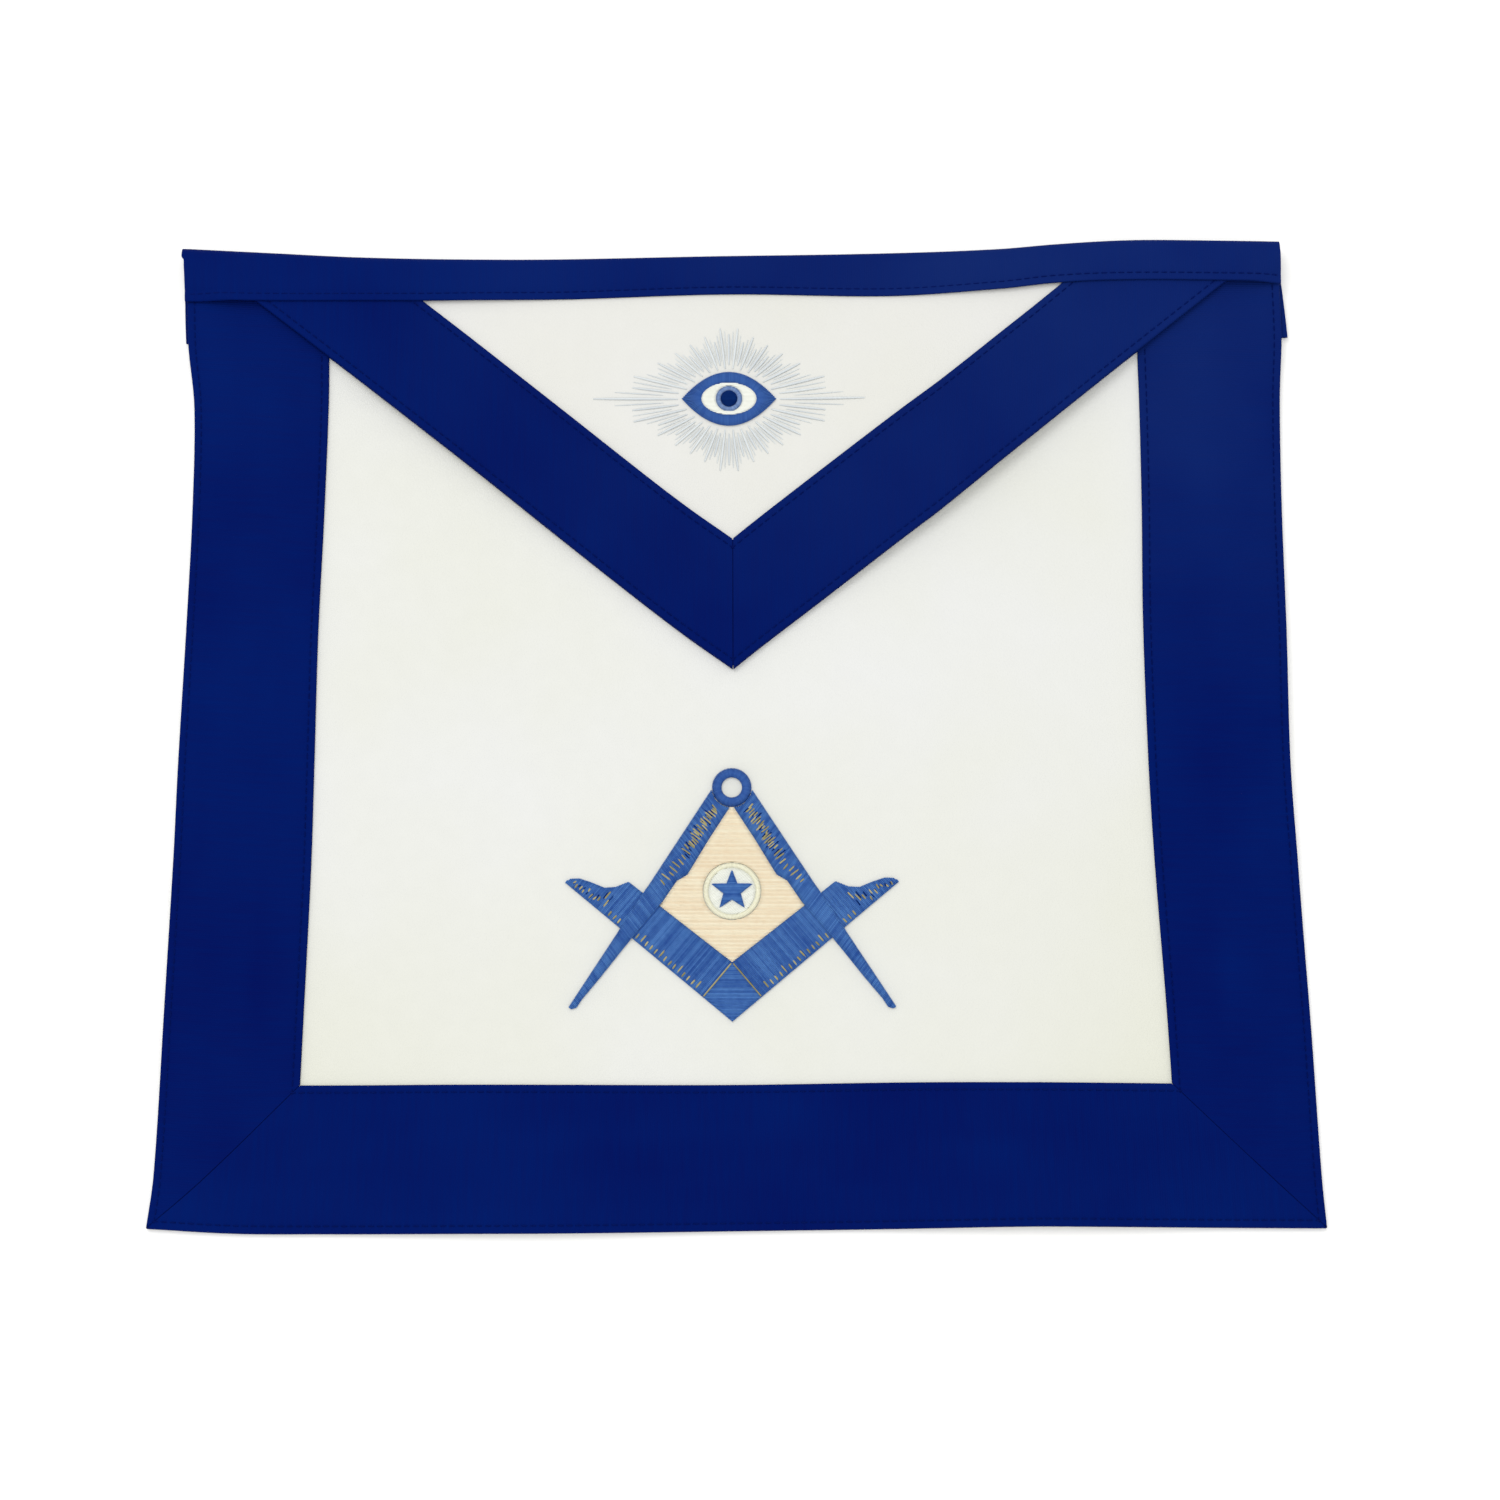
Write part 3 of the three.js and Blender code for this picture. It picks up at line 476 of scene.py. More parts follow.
def make_casing():
    """One ribbon folded over the top edge: a front leg, a round fold and a deeper back leg."""
    a = even(-HALF_WIDTH, HALF_WIDTH, CASING_CELL)
    ends = [np.where(a < 0, left, right) for left, right in zip(CASING_LEFT, CASING_RIGHT)]
    fold_x, fold_y = lay(a * (1 + ends[1] / HALF_WIDTH), HEIGHT + 0 * a)
    floor = table_clearance(fold_x, fold_y - FOLD_ROOM)
    radius = (casing_under(fold_x, fold_y - FOLD_ROOM) + RIBBON - floor) / 2
    depth = casing_front_depth(a)
    over, under, cloth = [], [], []

    def add(outer, inner, length):
        over.append(outer)
        under.append(inner)
        cloth.append(grid(length, a))

    for inset, dip in (*CASING_DIPS.items(), *((inset, 0) for inset in CASING_PLAIN)):
        drop = depth - inset * (depth - radius) / FRONT_CLOTH
        x, y = lay(a * (1 + ends[0] / HALF_WIDTH), HEIGHT - drop)
        low = casing_under(x, y)
        add(grid(x, y, low + RIBBON - dip), grid(x, y, low), inset)
    for turn in np.linspace(0, math.pi, 17):
        rounds = [
            grid(fold_x, fold_y - radius + r * math.sin(turn), floor + radius + r * math.cos(turn))
            for r in (radius, radius - RIBBON)
        ]
        add(*rounds, FRONT_CLOTH + FOLD_CLOTH * turn)
    for share in np.linspace(0, 1, 14)[1:]:
        drop = radius + (CASING_BACK - radius) * share
        overhang = ends[1] + (ends[2] - ends[1]) * share
        x, y = lay(a * (1 + overhang / HALF_WIDTH), HEIGHT - drop)
        low = table_clearance(x, y)
        add(grid(x, y, low), grid(x, y, low + RIBBON), BACK_START + BACK_CLOTH * share)
    return make_sheet("casing_ribbon", np.array(over), np.array(under), np.array(cloth))


# Finishes

def shade(red, green, blue):
    """A colour from the three numbers of a screen, as the renderer needs it."""
    shares = [number / 255 for number in (red, green, blue)]
    linear = [((share + 0.055) / 1.055) ** 2.4 if share > 0.04 else share / 12.92 for share in shares]
    return (*linear, 1)


def add_node(tree, kind, inputs=(), **settings):
    """A node with its settings; an input takes another node's output or a plain value."""
    node = tree.nodes.new(kind)
    for name, value in settings.items():
        setattr(node, name, value)
    for socket, value in dict(inputs).items():
        if isinstance(value, bpy.types.NodeSocket):
            tree.links.new(value, node.inputs[socket])
        else:
            node.inputs[socket].default_value = value
    return node


class Finish:
    """A material whose colour, roughness and bump are made by nodes."""

    def __init__(self, name, sockets):
        self.material = bpy.data.materials.new(name)
        self.material.use_nodes = True
        self.tree = self.material.node_tree
        self.shader = self.tree.nodes["Principled BSDF"]
        for socket, value in sockets.items():
            self.shader.inputs[socket].default_value = value
        self.bump = None

    def node(self, kind, inputs=(), **settings):
        return add_node(self.tree, "ShaderNode" + kind, inputs, **settings)

    def place(self, scale=(1, 1, 1), cloth=False):
        """Coordinates in metres on the object, or on the cloth of a ribbon."""
        if cloth:
            source = self.node("UVMap", uv_map="cloth").outputs["UV"]
        else:
            source = self.node("TexCoord").outputs["Object"]
        return self.node("Mapping", {"Vector": source, "Scale": scale}).outputs["Vector"]

    def noise(self, place, scale, detail, roughness=0.5):
        inputs = {"Vector": place, "Scale": scale, "Detail": detail, "Roughness": roughness}
        return self.node("TexNoise", inputs).outputs["Fac"]

    def ramp(self, source, *stops):
        """Two stops, each a position and a screen colour."""
        node = self.node("ValToRGB", {"Fac": source})
        for element, (position, colour) in zip(node.color_ramp.elements, stops):
            element.position = position
            element.color = shade(*colour)
        return node.outputs["Color"]

    def mix(self, share, first, second):
        return self.node("Mix", {0: share, 6: first, 7: second}, data_type="RGBA").outputs[2]

    def math(self, operation, first, second=0):
        return self.node("Math", {0: first, 1: second}, operation=operation).outputs[0]

    def blend(self, *parts):
        """A sum of values, each with its share."""
        total = None
        for source, share in parts:
            part = self.math("MULTIPLY", source, share)
            total = part if total is None else self.math("ADD", total, part)
        return total

    def spread(self, source, wanted, given=(0.3, 0.7)):
        """A value moved from its given range to the wanted one."""
        limits = zip(("From Min", "From Max", "To Min", "To Max"), (*given, *wanted))
        return self.node("MapRange", {"Value": source, **dict(limits)}).outputs["Result"]

    def raise_by(self, height, distance, strength):
        inputs = {"Height": height, "Distance": distance, "Strength": strength}
        if self.bump is not None:
            inputs["Normal"] = self.bump
        self.bump = self.node("Bump", inputs).outputs["Normal"]

    def done(self, colour, roughness=None):
        for socket, source in (("Base Color", colour), ("Roughness", roughness), ("Normal", self.bump)):
            if source is not None:
                self.tree.links.new(source, self.shader.inputs[socket])
        return self.material


def leather_finish(name, plain, clouded, warm):
    """Soft white leather: fine pebbled grain, faint clouds and a warmer tone low and at the rims."""
    finish = Finish(name, {"Specular IOR Level": 0.3, "Sheen Weight": 0.05})
    place = finish.place()
    tone = finish.ramp(finish.noise(place, 9, 3), (0.35, plain), (0.75, clouded))
    axes = finish.node("SeparateXYZ", {"Vector": place})
    low = finish.spread(axes.outputs["Y"], (0, 0.75), (-0.02, -0.15))
    rim = finish.spread(finish.math("ABSOLUTE", axes.outputs["X"]), (0.3, 1), (0.05, 0.16))
    colour = finish.mix(finish.math("MULTIPLY", low, rim), tone, shade(*warm))
    pebbles = finish.node("TexVoronoi", {"Vector": place, "Scale": 1100})
    finish.raise_by(pebbles.outputs["Distance"], 0.00012, 0.5)
    finish.raise_by(finish.noise(place, 420, 4, 0.6), 0.0002, 0.35)
    finish.raise_by(finish.noise(place, 34, 3), 0.0012, 0.25)
    return finish.done(colour, finish.spread(finish.noise(place, 160, 3), (0.5, 0.66)))


def ribbon_finish(name, deep, light, painted_sheen_colour):
    """Navy grosgrain: fine ribs across the ribbon, faint bands along it and a painted sheen that lightens
    it towards the top right.
    """
    finish = Finish(name, {"Specular IOR Level": 0.02})
    waves = {"Vector": finish.place(cloth=True), "Scale": 390, "Distortion": 0.3}
    ribs = finish.node("TexWave", waves, bands_direction="Y")
    weft = finish.noise(finish.place((60, 700, 1), cloth=True), 1, 2)
    bands = finish.noise(finish.place((14, 3, 1), cloth=True), 1.5, 3)
    patches = finish.noise(finish.place(), 14, 3)
    tone = finish.blend((bands, 0.45), (patches, 0.35), (weft, 0.2))
    axes = finish.node("SeparateXYZ", {"Vector": finish.place()})
    # Painted sheen: towards the top right, and in patches, the navy is mixed with a lighter, greyer blue.
    high = finish.spread(axes.outputs["Y"], (0, 1), (0, 0.17))
    right = finish.spread(axes.outputs["X"], (0.1, 0.9), (-0.14, 0.08))
    sheen_patches = finish.spread(patches, (0.6, 1.2))
    painted_sheen_mask = finish.math("MULTIPLY", finish.math("MULTIPLY", high, right), sheen_patches)
    colour = finish.mix(painted_sheen_mask, finish.ramp(tone, (0.38, deep), (0.62, light)), shade(*painted_sheen_colour))
    finish.raise_by(ribs.outputs["Fac"], 0.00012, 0.6)
    finish.raise_by(weft, 0.0001, 0.5)
    return finish.done(colour, finish.spread(weft, (0.6, 0.78)))


def thread_finish(name, deep, light, gloss=0.2):
    """Embroidery thread: each strand has its own tone, and the tone drifts along it."""
    finish = Finish(name, {"Specular IOR Level": gloss, "Sheen Weight": gloss / 4})
    place = finish.place()
    tint = finish.node("Attribute", attribute_name="tint").outputs["Fac"]
    drift, flecks = finish.noise(place, 90, 2), finish.noise(place, 480, 2)
    tone = finish.blend((tint, 0.35), (drift, 0.3), (flecks, 0.35))
    colour = finish.ramp(tone, (0.25, deep), (0.75, light))
    finish.raise_by(finish.noise(place, 2600, 2), 0.00008, 0.5)
    return finish.done(colour, finish.spread(finish.noise(place, 300, 2), (0.42, 0.6)))


white_leather = leather_finish("white_leather", (216, 217, 215), (213, 214, 205), (209, 210, 192))
flap_white = leather_finish("flap_leather", (214, 214, 211), (211, 211, 203), (211, 211, 203))
# The third navy colour is a painted sheen, mixed in towards the top right.
navy = ribbon_finish("navy_grosgrain", (0, 14, 84), (0, 24, 95), (14, 36, 99))
navy_stitch = thread_finish("navy_stitch", (0, 11, 74), (2, 20, 88), 0.02)
blue = thread_finish("blue_thread", (26, 74, 150), (72, 120, 184))
lid_blue = thread_finish("lid_thread", (34, 76, 148), (52, 94, 162))
cream = thread_finish("cream_thread", (230, 213, 184), (238, 230, 206))
pale_cream = thread_finish("pale_cream_thread", (232, 230, 204), (238, 237, 216))
white = thread_finish("white_thread", (230, 232, 222), (238, 240, 232))
gold = thread_finish("gold_thread", (124, 118, 76), (176, 166, 118))
dark = thread_finish("dark_thread", (0, 30, 88), (0, 40, 104), 0.05)
grey = thread_finish("grey_thread", (198, 204, 208), (214, 219, 220))
iris_blue = thread_finish("iris_thread", (92, 120, 170), (126, 150, 192))


# Threads and stitches

def start_tree(name, *sizes):
    """A geometry tree with a mesh of paths as input, named sizes and a finish."""
    tree = bpy.data.node_groups.new(name, "GeometryNodeTree")
    kinds = {"Paths": "Geometry", **dict.fromkeys(sizes, "Float"), "Finish": "Material"}
    for label, kind in kinds.items():
        tree.interface.new_socket(label, in_out="INPUT", socket_type="NodeSocket" + kind)
    tree.interface.new_socket("Threads", in_out="OUTPUT", socket_type="NodeSocketGeometry")
    given = add_node(tree, "NodeGroupInput").outputs
    return tree, given, add_node(tree, "GeometryNodeMeshToCurve", {"Mesh": given["Paths"]}).outputs["Curve"]


def end_tree(tree, given, geometry):
    realized = add_node(tree, "GeometryNodeRealizeInstances", {"Geometry": geometry})
    finished = add_node(tree, "GeometryNodeSetMaterial", {
        "Geometry": realized.outputs["Geometry"], "Material": given["Finish"]})
    add_node(tree, "NodeGroupOutput", {"Threads": finished.outputs["Geometry"]})
    return tree


def strand_tree():
    """A round strand along every path, as thick as the path's girth says."""
    tree, given, curve = start_tree("strands", "Thread width")
    half = add_node(tree, "ShaderNodeMath", {0: given["Thread width"], 1: 0.5}, operation="MULTIPLY")
    sizes = {"Resolution": 5, "Radius": half.outputs[0]}
    circle = add_node(tree, "GeometryNodeCurvePrimitiveCircle", sizes)
    girth = add_node(tree, "GeometryNodeInputNamedAttribute", {"Name": "girth"})
    tube = add_node(tree, "GeometryNodeCurveToMesh", {
        "Curve": curve, "Profile Curve": circle.outputs["Curve"],
        "Scale": girth.outputs["Attribute"], "Fill Caps": True})
    return end_tree(tree, given, tube.outputs["Mesh"])


def seam_tree():
    """A row of short stitches along every path."""
    tree, given, curve = start_tree("seam", "Pitch", "Stitch length", "Thread width")
    steps = {"Curve": curve, "Length": given["Pitch"]}
    points = add_node(tree, "GeometryNodeResampleCurve", steps, mode="LENGTH")
    tangent = add_node(tree, "GeometryNodeInputTangent").outputs["Tangent"]
    turn = add_node(tree, "FunctionNodeAlignRotationToVector", {"Vector": tangent}, axis="X")
    grain = add_node(tree, "GeometryNodeMeshUVSphere", {"Segments": 6, "Rings": 5, "Radius": 0.5})
    size = add_node(tree, "ShaderNodeCombineXYZ", {
        "X": given["Stitch length"], "Y": given["Thread width"], "Z": given["Thread width"]})
    stitches = add_node(tree, "GeometryNodeInstanceOnPoints", {
        "Points": points.outputs["Curve"], "Instance": grain.outputs["Mesh"],
        "Rotation": turn.outputs["Rotation"], "Scale": size.outputs["Vector"]})
    return end_tree(tree, given, stitches.outputs["Instances"])


STRANDS = strand_tree()
SEAM = seam_tree()


def set_values(mesh, label, values):
    mesh.attributes.new(label, "FLOAT", "POINT").data.foreach_set("value", values)


def sew(name, paths, tree, finish, sizes):
    """Runs a geometry tree over paths and keeps the result as a plain mesh piece.
    Each path is (points in millimetres, girth of each point)."""
    points, girths = (np.concatenate(rows) for rows in zip(*paths))
    lengths = [len(path) for path, _ in paths]
    starts = np.cumsum([0, *lengths[:-1]]).tolist()
    edges = [(start + i, start + i + 1) for start, n in zip(starts, lengths) for i in range(n - 1)]
    mesh = new_mesh(name, points, edges, [])
    set_values(mesh, "girth", girths)
    set_values(mesh, "tint", np.concatenate([np.full(n, ROLL.random()) for n in lengths]))
    source = add_object(name + "_paths", mesh)
    modifier = source.modifiers.new("threads", "NODES")
    modifier.node_group = tree
    values = {"Finish": finish, **{size: value * MM for size, value in sizes.items()}}
    for item in tree.interface.items_tree:
        if item.name in values:
            modifier[item.identifier] = values[item.name]
    depsgraph = bpy.context.evaluated_depsgraph_get()
    sewn = bpy.data.meshes.new_from_object(
        source.evaluated_get(depsgraph), preserve_all_data_layers=True, depsgraph=depsgraph)
    bpy.data.objects.remove(source)
    sewn.name = name
    sewn.shade_smooth()
    return add_object(name, sewn)


def strands(name, paths, finish, width):
    return sew(name, paths, STRANDS, finish, {"Thread width": width})


def join(first, *others):
    with bpy.context.temp_override(
            active_object=first, object=first, selected_objects=[first, *others],
            selected_editable_objects=[first, *others]):
        bpy.ops.object.join()
    return first


# Embroidered patches

THREAD = 0.5
PITCH = 0.95 * THREAD
SHORTEST = 0.4
RIM = 0.35
OUTLINE_CELL, PADDING_CELL, PADDING_MARGIN = 1.5, 1.6, 0.6
PADDING_TINT = 0.4
END_GIRTH = 0.7

# Where a long span goes down between its stitches: depth, reach and shift from row to row
DIP_DEPTH, DIP_REACH, DIP_SHIFT = 0.22, 0.55, 0.37


def heading(turn):
    return np.array([math.cos(turn), math.sin(turn)])


def sides(rings):
    """Each side of closed outlines as its start and its end."""
    return [side for outline in rings for side in zip(outline, np.roll(outline, -1, 0))]


def refine(outline, cell):
    """A closed outline with points at most a cell apart."""
    parts = []
    for start, end in sides([np.asarray(outline, float)]):
        count = max(1, math.ceil(np.hypot(*(end - start)) / cell))
        parts.append(start + (end - start) * np.arange(count)[:, None] / count)
    return np.concatenate(parts)


def rim_distance(rings, x, y):
    """Distance of points to the nearest edge of the outlines."""
    nearest = np.full(np.shape(x), np.inf)
    for (px, py), (qx, qy) in sides(rings):
        dx, dy = qx - px, qy - py
        along = np.clip(((x - px) * dx + (y - py) * dy) / max(dx * dx + dy * dy, 1e-9), 0, 1)
        nearest = np.minimum(nearest, np.hypot(x - px - along * dx, y - py - along * dy))
    return nearest


def within(rings, x, y):
    inside = np.zeros(np.shape(x), bool)
    for (px, py), (qx, qy) in sides(rings):
        if py != qy:
            crosses = (py > y) != (qy > y)
            inside ^= crosses & (x < px + (y - py) * (qx - px) / (qy - py))
    return inside


def hatch(rings, turn, pitch=PITCH):
    """Straight spans across the outlines at an angle, a pitch apart."""
    along, across = heading(turn), heading(turn + math.pi / 2)
    turned = [np.asarray(outline) @ np.column_stack([along, across]) for outline in rings]
    levels = np.concatenate(turned)[:, 1]
    edges = sides(turned)
    spans = []
    for row, level in enumerate(np.arange(levels.min() + pitch / 2, levels.max(), pitch)):
        hits = sorted(
            px + (level - py) * (qx - px) / (qy - py)
            for (px, py), (qx, qy) in edges if (py > level) != (qy > level))
        for start, end in zip(hits[::2], hits[1::2]):
            if end - start > SHORTEST:
                spans.append((row, start * along + level * across, end * along + level * across))
    return spans


class Patch:
    """A padded patch of embroidery: outlines, what it lies on, how high its face rises above
    that or above a base, and how far in from its rims it takes to get there."""

    def __init__(self, rings, floor, rise, shoulder, base=None):
        self.rings = [refine(outline, OUTLINE_CELL) for outline in rings]
        self.floor, self.face, self.shoulder = floor, above(base or floor, rise), shoulder

    def height(self, x, y):
        share = np.clip(rim_distance(self.rings, x, y) / self.shoulder, 0, 1)
        floor = self.floor(x, y)
        return floor + RIM + (self.face(x, y) - floor - RIM) * np.sqrt(1 - (1 - share) ** 2)

    def padding(self, name, finish):
        outline = np.concatenate(self.rings)
        steps = [np.arange(low, high, PADDING_CELL) for low, high in zip(outline.min(0), outline.max(0))]
        loose = np.stack(np.meshgrid(*steps), -1).reshape(-1, 2)
        keep = within(self.rings, *loose.T) & (rim_distance(self.rings, *loose.T) > PADDING_MARGIN)
        points = np.concatenate([outline, loose[keep]])
        edges, first = [], 0
        for count in map(len, self.rings):
            edges += [(first + i, first + (i + 1) % count) for i in range(count)]
            first += count
        flat, _, faces, *_ = delaunay_2d_cdt([Vector(p) for p in points], edges, [], 0, 1e-5)
        flat, faces = np.array([tuple(p) for p in flat]), np.array(faces)
        faces = faces[within(self.rings, *flat[faces].mean(1).T)]
        rims = {(p, q) for face in faces.tolist() for p, q in zip(face, face[1:] + face[:1])}
        count = len(flat)
        walls = [(q, p, p + count, q + count) for p, q in rims if (q, p) not in rims]
        x, y = flat.T
        over, under = grid(x, y, self.height(x, y) - 0.3 * THREAD), grid(x, y, self.floor(x, y))
        lids = [*faces.tolist(), *(faces[:, ::-1] + count).tolist()]
        mesh = new_mesh(name, np.concatenate([over, under]), [], [*lids, *walls])
        set_values(mesh, "tint", np.full(2 * count, PADDING_TINT))
        mesh.shade_smooth()
        mesh.materials.append(finish)
        return add_object(name, mesh)

    def paths(self, spans, longest=6, step=1.5):
        """Threads over the padding; a long span dips where its stitches go down."""
        paths = []
        for row, start, end in spans:
            length = np.hypot(*(end - start))
            share = np.linspace(0, 1, max(3, math.ceil(length / step) + 1))
            x, y = (start + (end - start) * share[:, None]).T
            z = self.height(x, y) + 0.1 * THREAD
            if length > 1.6 * longest:
                place = (share * length / longest + row * DIP_SHIFT) % 1
                z -= DIP_DEPTH * np.exp(-(np.minimum(place, 1 - place) * longest / DIP_REACH) ** 2)
            girth = np.ones(len(share))
            girth[[0, -1]] = END_GIRTH
            paths.append((grid(x, y, z), girth))
        return paths


def embroider(name, patch, spans, finish, **stitching):
    padding = patch.padding(name, finish)
    return join(padding, strands(name + "_threads", patch.paths(spans, **stitching), finish, THREAD))


def ring(centre, radius, count=40, start=0):
    turns = start + 2 * math.pi * np.arange(count) / count
    return centre + np.column_stack([np.cos(turns), np.sin(turns)]) * np.reshape(radius, (-1, 1))


def radial(centre, outer, inner, count):
    """Spans from an inner to an outer outline round a centre."""
    turns = 2 * math.pi * np.arange(count) / count
    return [(i, centre + inner(turn), centre + outer(turn)) for i, turn in enumerate(turns)]


def band(centre, outer, inner, count, inner_points=40):
    """The outlines of a round band and a number of spans across it."""
    rings = [ring(centre, outer), ring(centre, inner, inner_points)]
    edges = [lambda turn, radius=radius: radius * heading(turn) for radius in (outer, inner)]
    return rings, radial(centre, *edges, count)


# The emblem's outlines

def mirrored(points, side):
    return np.array([(EMBLEM_FOOT[0] + side * x, EMBLEM_FOOT[1] + y) for x, y in points])


def arm_point(along, inset):
    x = along * math.cos(SQUARE_TURN) - inset * math.sin(SQUARE_TURN)
    return x, along * math.sin(SQUARE_TURN) + inset * math.cos(SQUARE_TURN)


ARM_END = [arm_point(along * SQUARE_ARM, width * SQUARE_WIDTH) for along, width in SQUARE_END]
ARM_TIP = arm_point(SQUARE_ARM, 0)
INNER_CORNER = (0, SQUARE_WIDTH / math.cos(SQUARE_TURN))
CORNER_SIDE = SQUARE_WIDTH * math.tan(SQUARE_TURN)


def square_outline():
    half = [(0, 0), ARM_TIP, *ARM_END[::-1], INNER_CORNER]
    return [*mirrored(half, 1), *mirrored(half[1:-1][::-1], -1)]


def square_spans():
    """Threads across each arm, and level ones in the corner between the two light lines."""
    x, y = arm_point(CORNER_SIDE, 0)
    arm = [(x, y), ARM_TIP, *ARM_END[::-1], INNER_CORNER]
    corner = [(0, 0), (x, y), INNER_CORNER, (-x, y)]
    return [
        *hatch([mirrored(arm, 1)], SQUARE_TURN + math.pi / 2),
        *hatch([mirrored(arm, -1)], math.pi / 2 - SQUARE_TURN),
        *hatch([mirrored(corner, 1)], 0),
    ]


def leg_width(along):
    return LEG_WIDTH * np.interp(along / LEG_LENGTH, *LEG_SHAPE.T)


def leg_point(side, along, inset):
    out = LEG_OFFSET - inset
    x = out * math.cos(LEG_TURN) + along * math.sin(LEG_TURN)
    y = out * math.sin(LEG_TURN) - along * math.cos(LEG_TURN)
    return np.array([HINGE[0] + side * x, HINGE[1] + y])


def leg_start(inset):
    return math.sqrt(max(0, (HINGE_RADIUS + SEAM_GAP) ** 2 - (LEG_OFFSET - inset) ** 2))


def leg_outline(side):
    begin = [leg_point(side, leg_start(inset), inset) for inset in np.linspace(0, LEG_WIDTH, 7)]
    stations = LEG_LENGTH * LEG_SHAPE[1:, 0]
    inner = [leg_point(side, along, leg_width(along)) for along in stations]
    return [*begin, *inner, leg_point(side, LEG_LENGTH, 0)]


LEG_CLIMB = 1.2


def leg_floor(side):
    """A leg lies on the leather and climbs over the square within a short slope."""
    def floor(x, y):
        across, up = side * (x - EMBLEM_FOOT[0]), y - EMBLEM_FOOT[1]
        inside = up * math.cos(SQUARE_TURN) - across * math.sin(SQUARE_TURN)
        on = 1 - fading(inside + SEAM_GAP + LEG_CLIMB, LEG_CLIMB)
        off = fading(inside - SQUARE_WIDTH - SEAM_GAP, LEG_CLIMB)
        return thread_under(x, y) + (EMBLEM_RISE + SEAM_GAP) * on * off
    return floor


def meeting(start, toward, low, end):
    """Where the line from start meets the line from low to end."""
    (ax, ay), (bx, by) = toward - start, low - end
    cx, cy = low - start
    return start + (toward - start) * (cx * by - cy * bx) / (ax * by - ay * bx)


FIELD_START, FIELD_REACH, FIELD_AHEAD = HINGE_RADIUS + 1.2, 50, 4


def field_outline():
    lift = np.array([0, FIELD_GAP / math.cos(SQUARE_TURN)])
    low = mirrored([INNER_CORNER], 1)[0] + lift
    halves = []
    for side in (1, -1):
        stations = LEG_LENGTH * LEG_SHAPE[:, 0]
        stations = stations[(FIELD_START < stations) & (stations < FIELD_REACH)]
        edge = [leg_point(side, along, leg_width(along) + FIELD_GAP) for along in stations]
        past = stations[-1] + FIELD_AHEAD
        ahead = leg_point(side, past, leg_width(past) + FIELD_GAP)
        start = leg_point(side, leg_start(LEG_WIDTH) + FIELD_GAP, LEG_WIDTH + FIELD_GAP)
        corner = meeting(edge[-1], ahead, low, mirrored([ARM_END[0]], side)[0] + lift)
        halves.append([start, *edge, corner])
    return [*halves[0], low, *halves[1][::-1]]


# The embroidery

SQUARE = Patch([square_outline()], thread_under, EMBLEM_RISE, 1.6)
LEGS = {
    side: Patch([leg_outline(side)], leg_floor(side), LEG_RISE, 2.4, thread_under)
    for side in (-1, 1)
}
LEG_LEAN = 0.35
FIELD_RISE, STAR_RISE = 0.7, 1
DISC_INNER = DISC_RADIUS - RIM_WIDTH


def make_emblem():
    """Square, compasses, cream field and the starred disc, all in raised stitches."""
    yield embroider("stitched_square", SQUARE, square_spans(), blue, longest=5.3), "emblem_square"
    for label, side in (("left", -1), ("right", 1)):
        turn = LEG_TURN if side > 0 else math.pi - LEG_TURN
        spans = hatch(LEGS[side].rings, turn + LEG_LEAN * side)
        leg = embroider(f"stitched_leg_{label}", LEGS[side], spans, blue, longest=12, step=1.3)
        yield leg, f"compass_leg_{label}"
    rings, spans = band(HINGE, HINGE_RADIUS, HINGE_HOLE, 84, 28)
    hinge = Patch(rings, thread_under, LEG_RISE, 1.6)
    yield embroider("stitched_hinge", hinge, spans, lid_blue, step=0.8), "compass_hinge"
    field = Patch([field_outline(), ring(DISC, DISC_RADIUS + SEAM_GAP)], thread_under, FIELD_RISE, 1.2)
    yield embroider("stitched_field", field, hatch(field.rings, 0), cream, longest=5), "emblem_field"
    disc = Patch([ring(DISC, DISC_INNER)], thread_under, EMBLEM_RISE, 1.4)
    yield embroider("stitched_disc", disc, hatch(disc.rings, 0.5), white, longest=7), "emblem_disc"
    rings, spans = band(DISC, DISC_RADIUS, DISC_INNER + 0.05, 124)
    rim = Patch(rings, thread_under, EMBLEM_RISE, 0.8)
    yield embroider("stitched_rim", rim, spans, pale_cream, step=0.8), None
    corners = ring(DISC, [STAR_RADIUS, STAR_WAIST] * 5, 10, math.pi / 2)
    star = Patch([corners], above(thread_under, EMBLEM_RISE + SEAM_GAP), STAR_RISE, 1.8)
    spans = hatch(star.rings, 0, 0.9 * THREAD)
    yield embroider("stitched_star", star, spans, blue, step=1), "emblem_star"


def almond(turn):
    """The pointed outline of the lids in a direction from the eye's middle."""
    c, s = heading(turn)
    half, high = EYE_WIDTH / 2, EYE_HEIGHT / 2
    a, b = high * c * c / half ** 2, abs(s)
    if b < 1e-6:
        radius = half / abs(c)
    elif a > 1e-9:
        radius = (-b + math.sqrt(b * b + 4 * a * high)) / (2 * a)
    else:
        radius = high
    return radius * heading(turn)


def opening(turn):
    return EYE_OPENING * heading(turn)


LID_RISE, IRIS_RISE, PUPIL_RISE, WHITE_RISE = 0.9, 0.8, 1.1, 0.6
EYE_GAP = 0.1


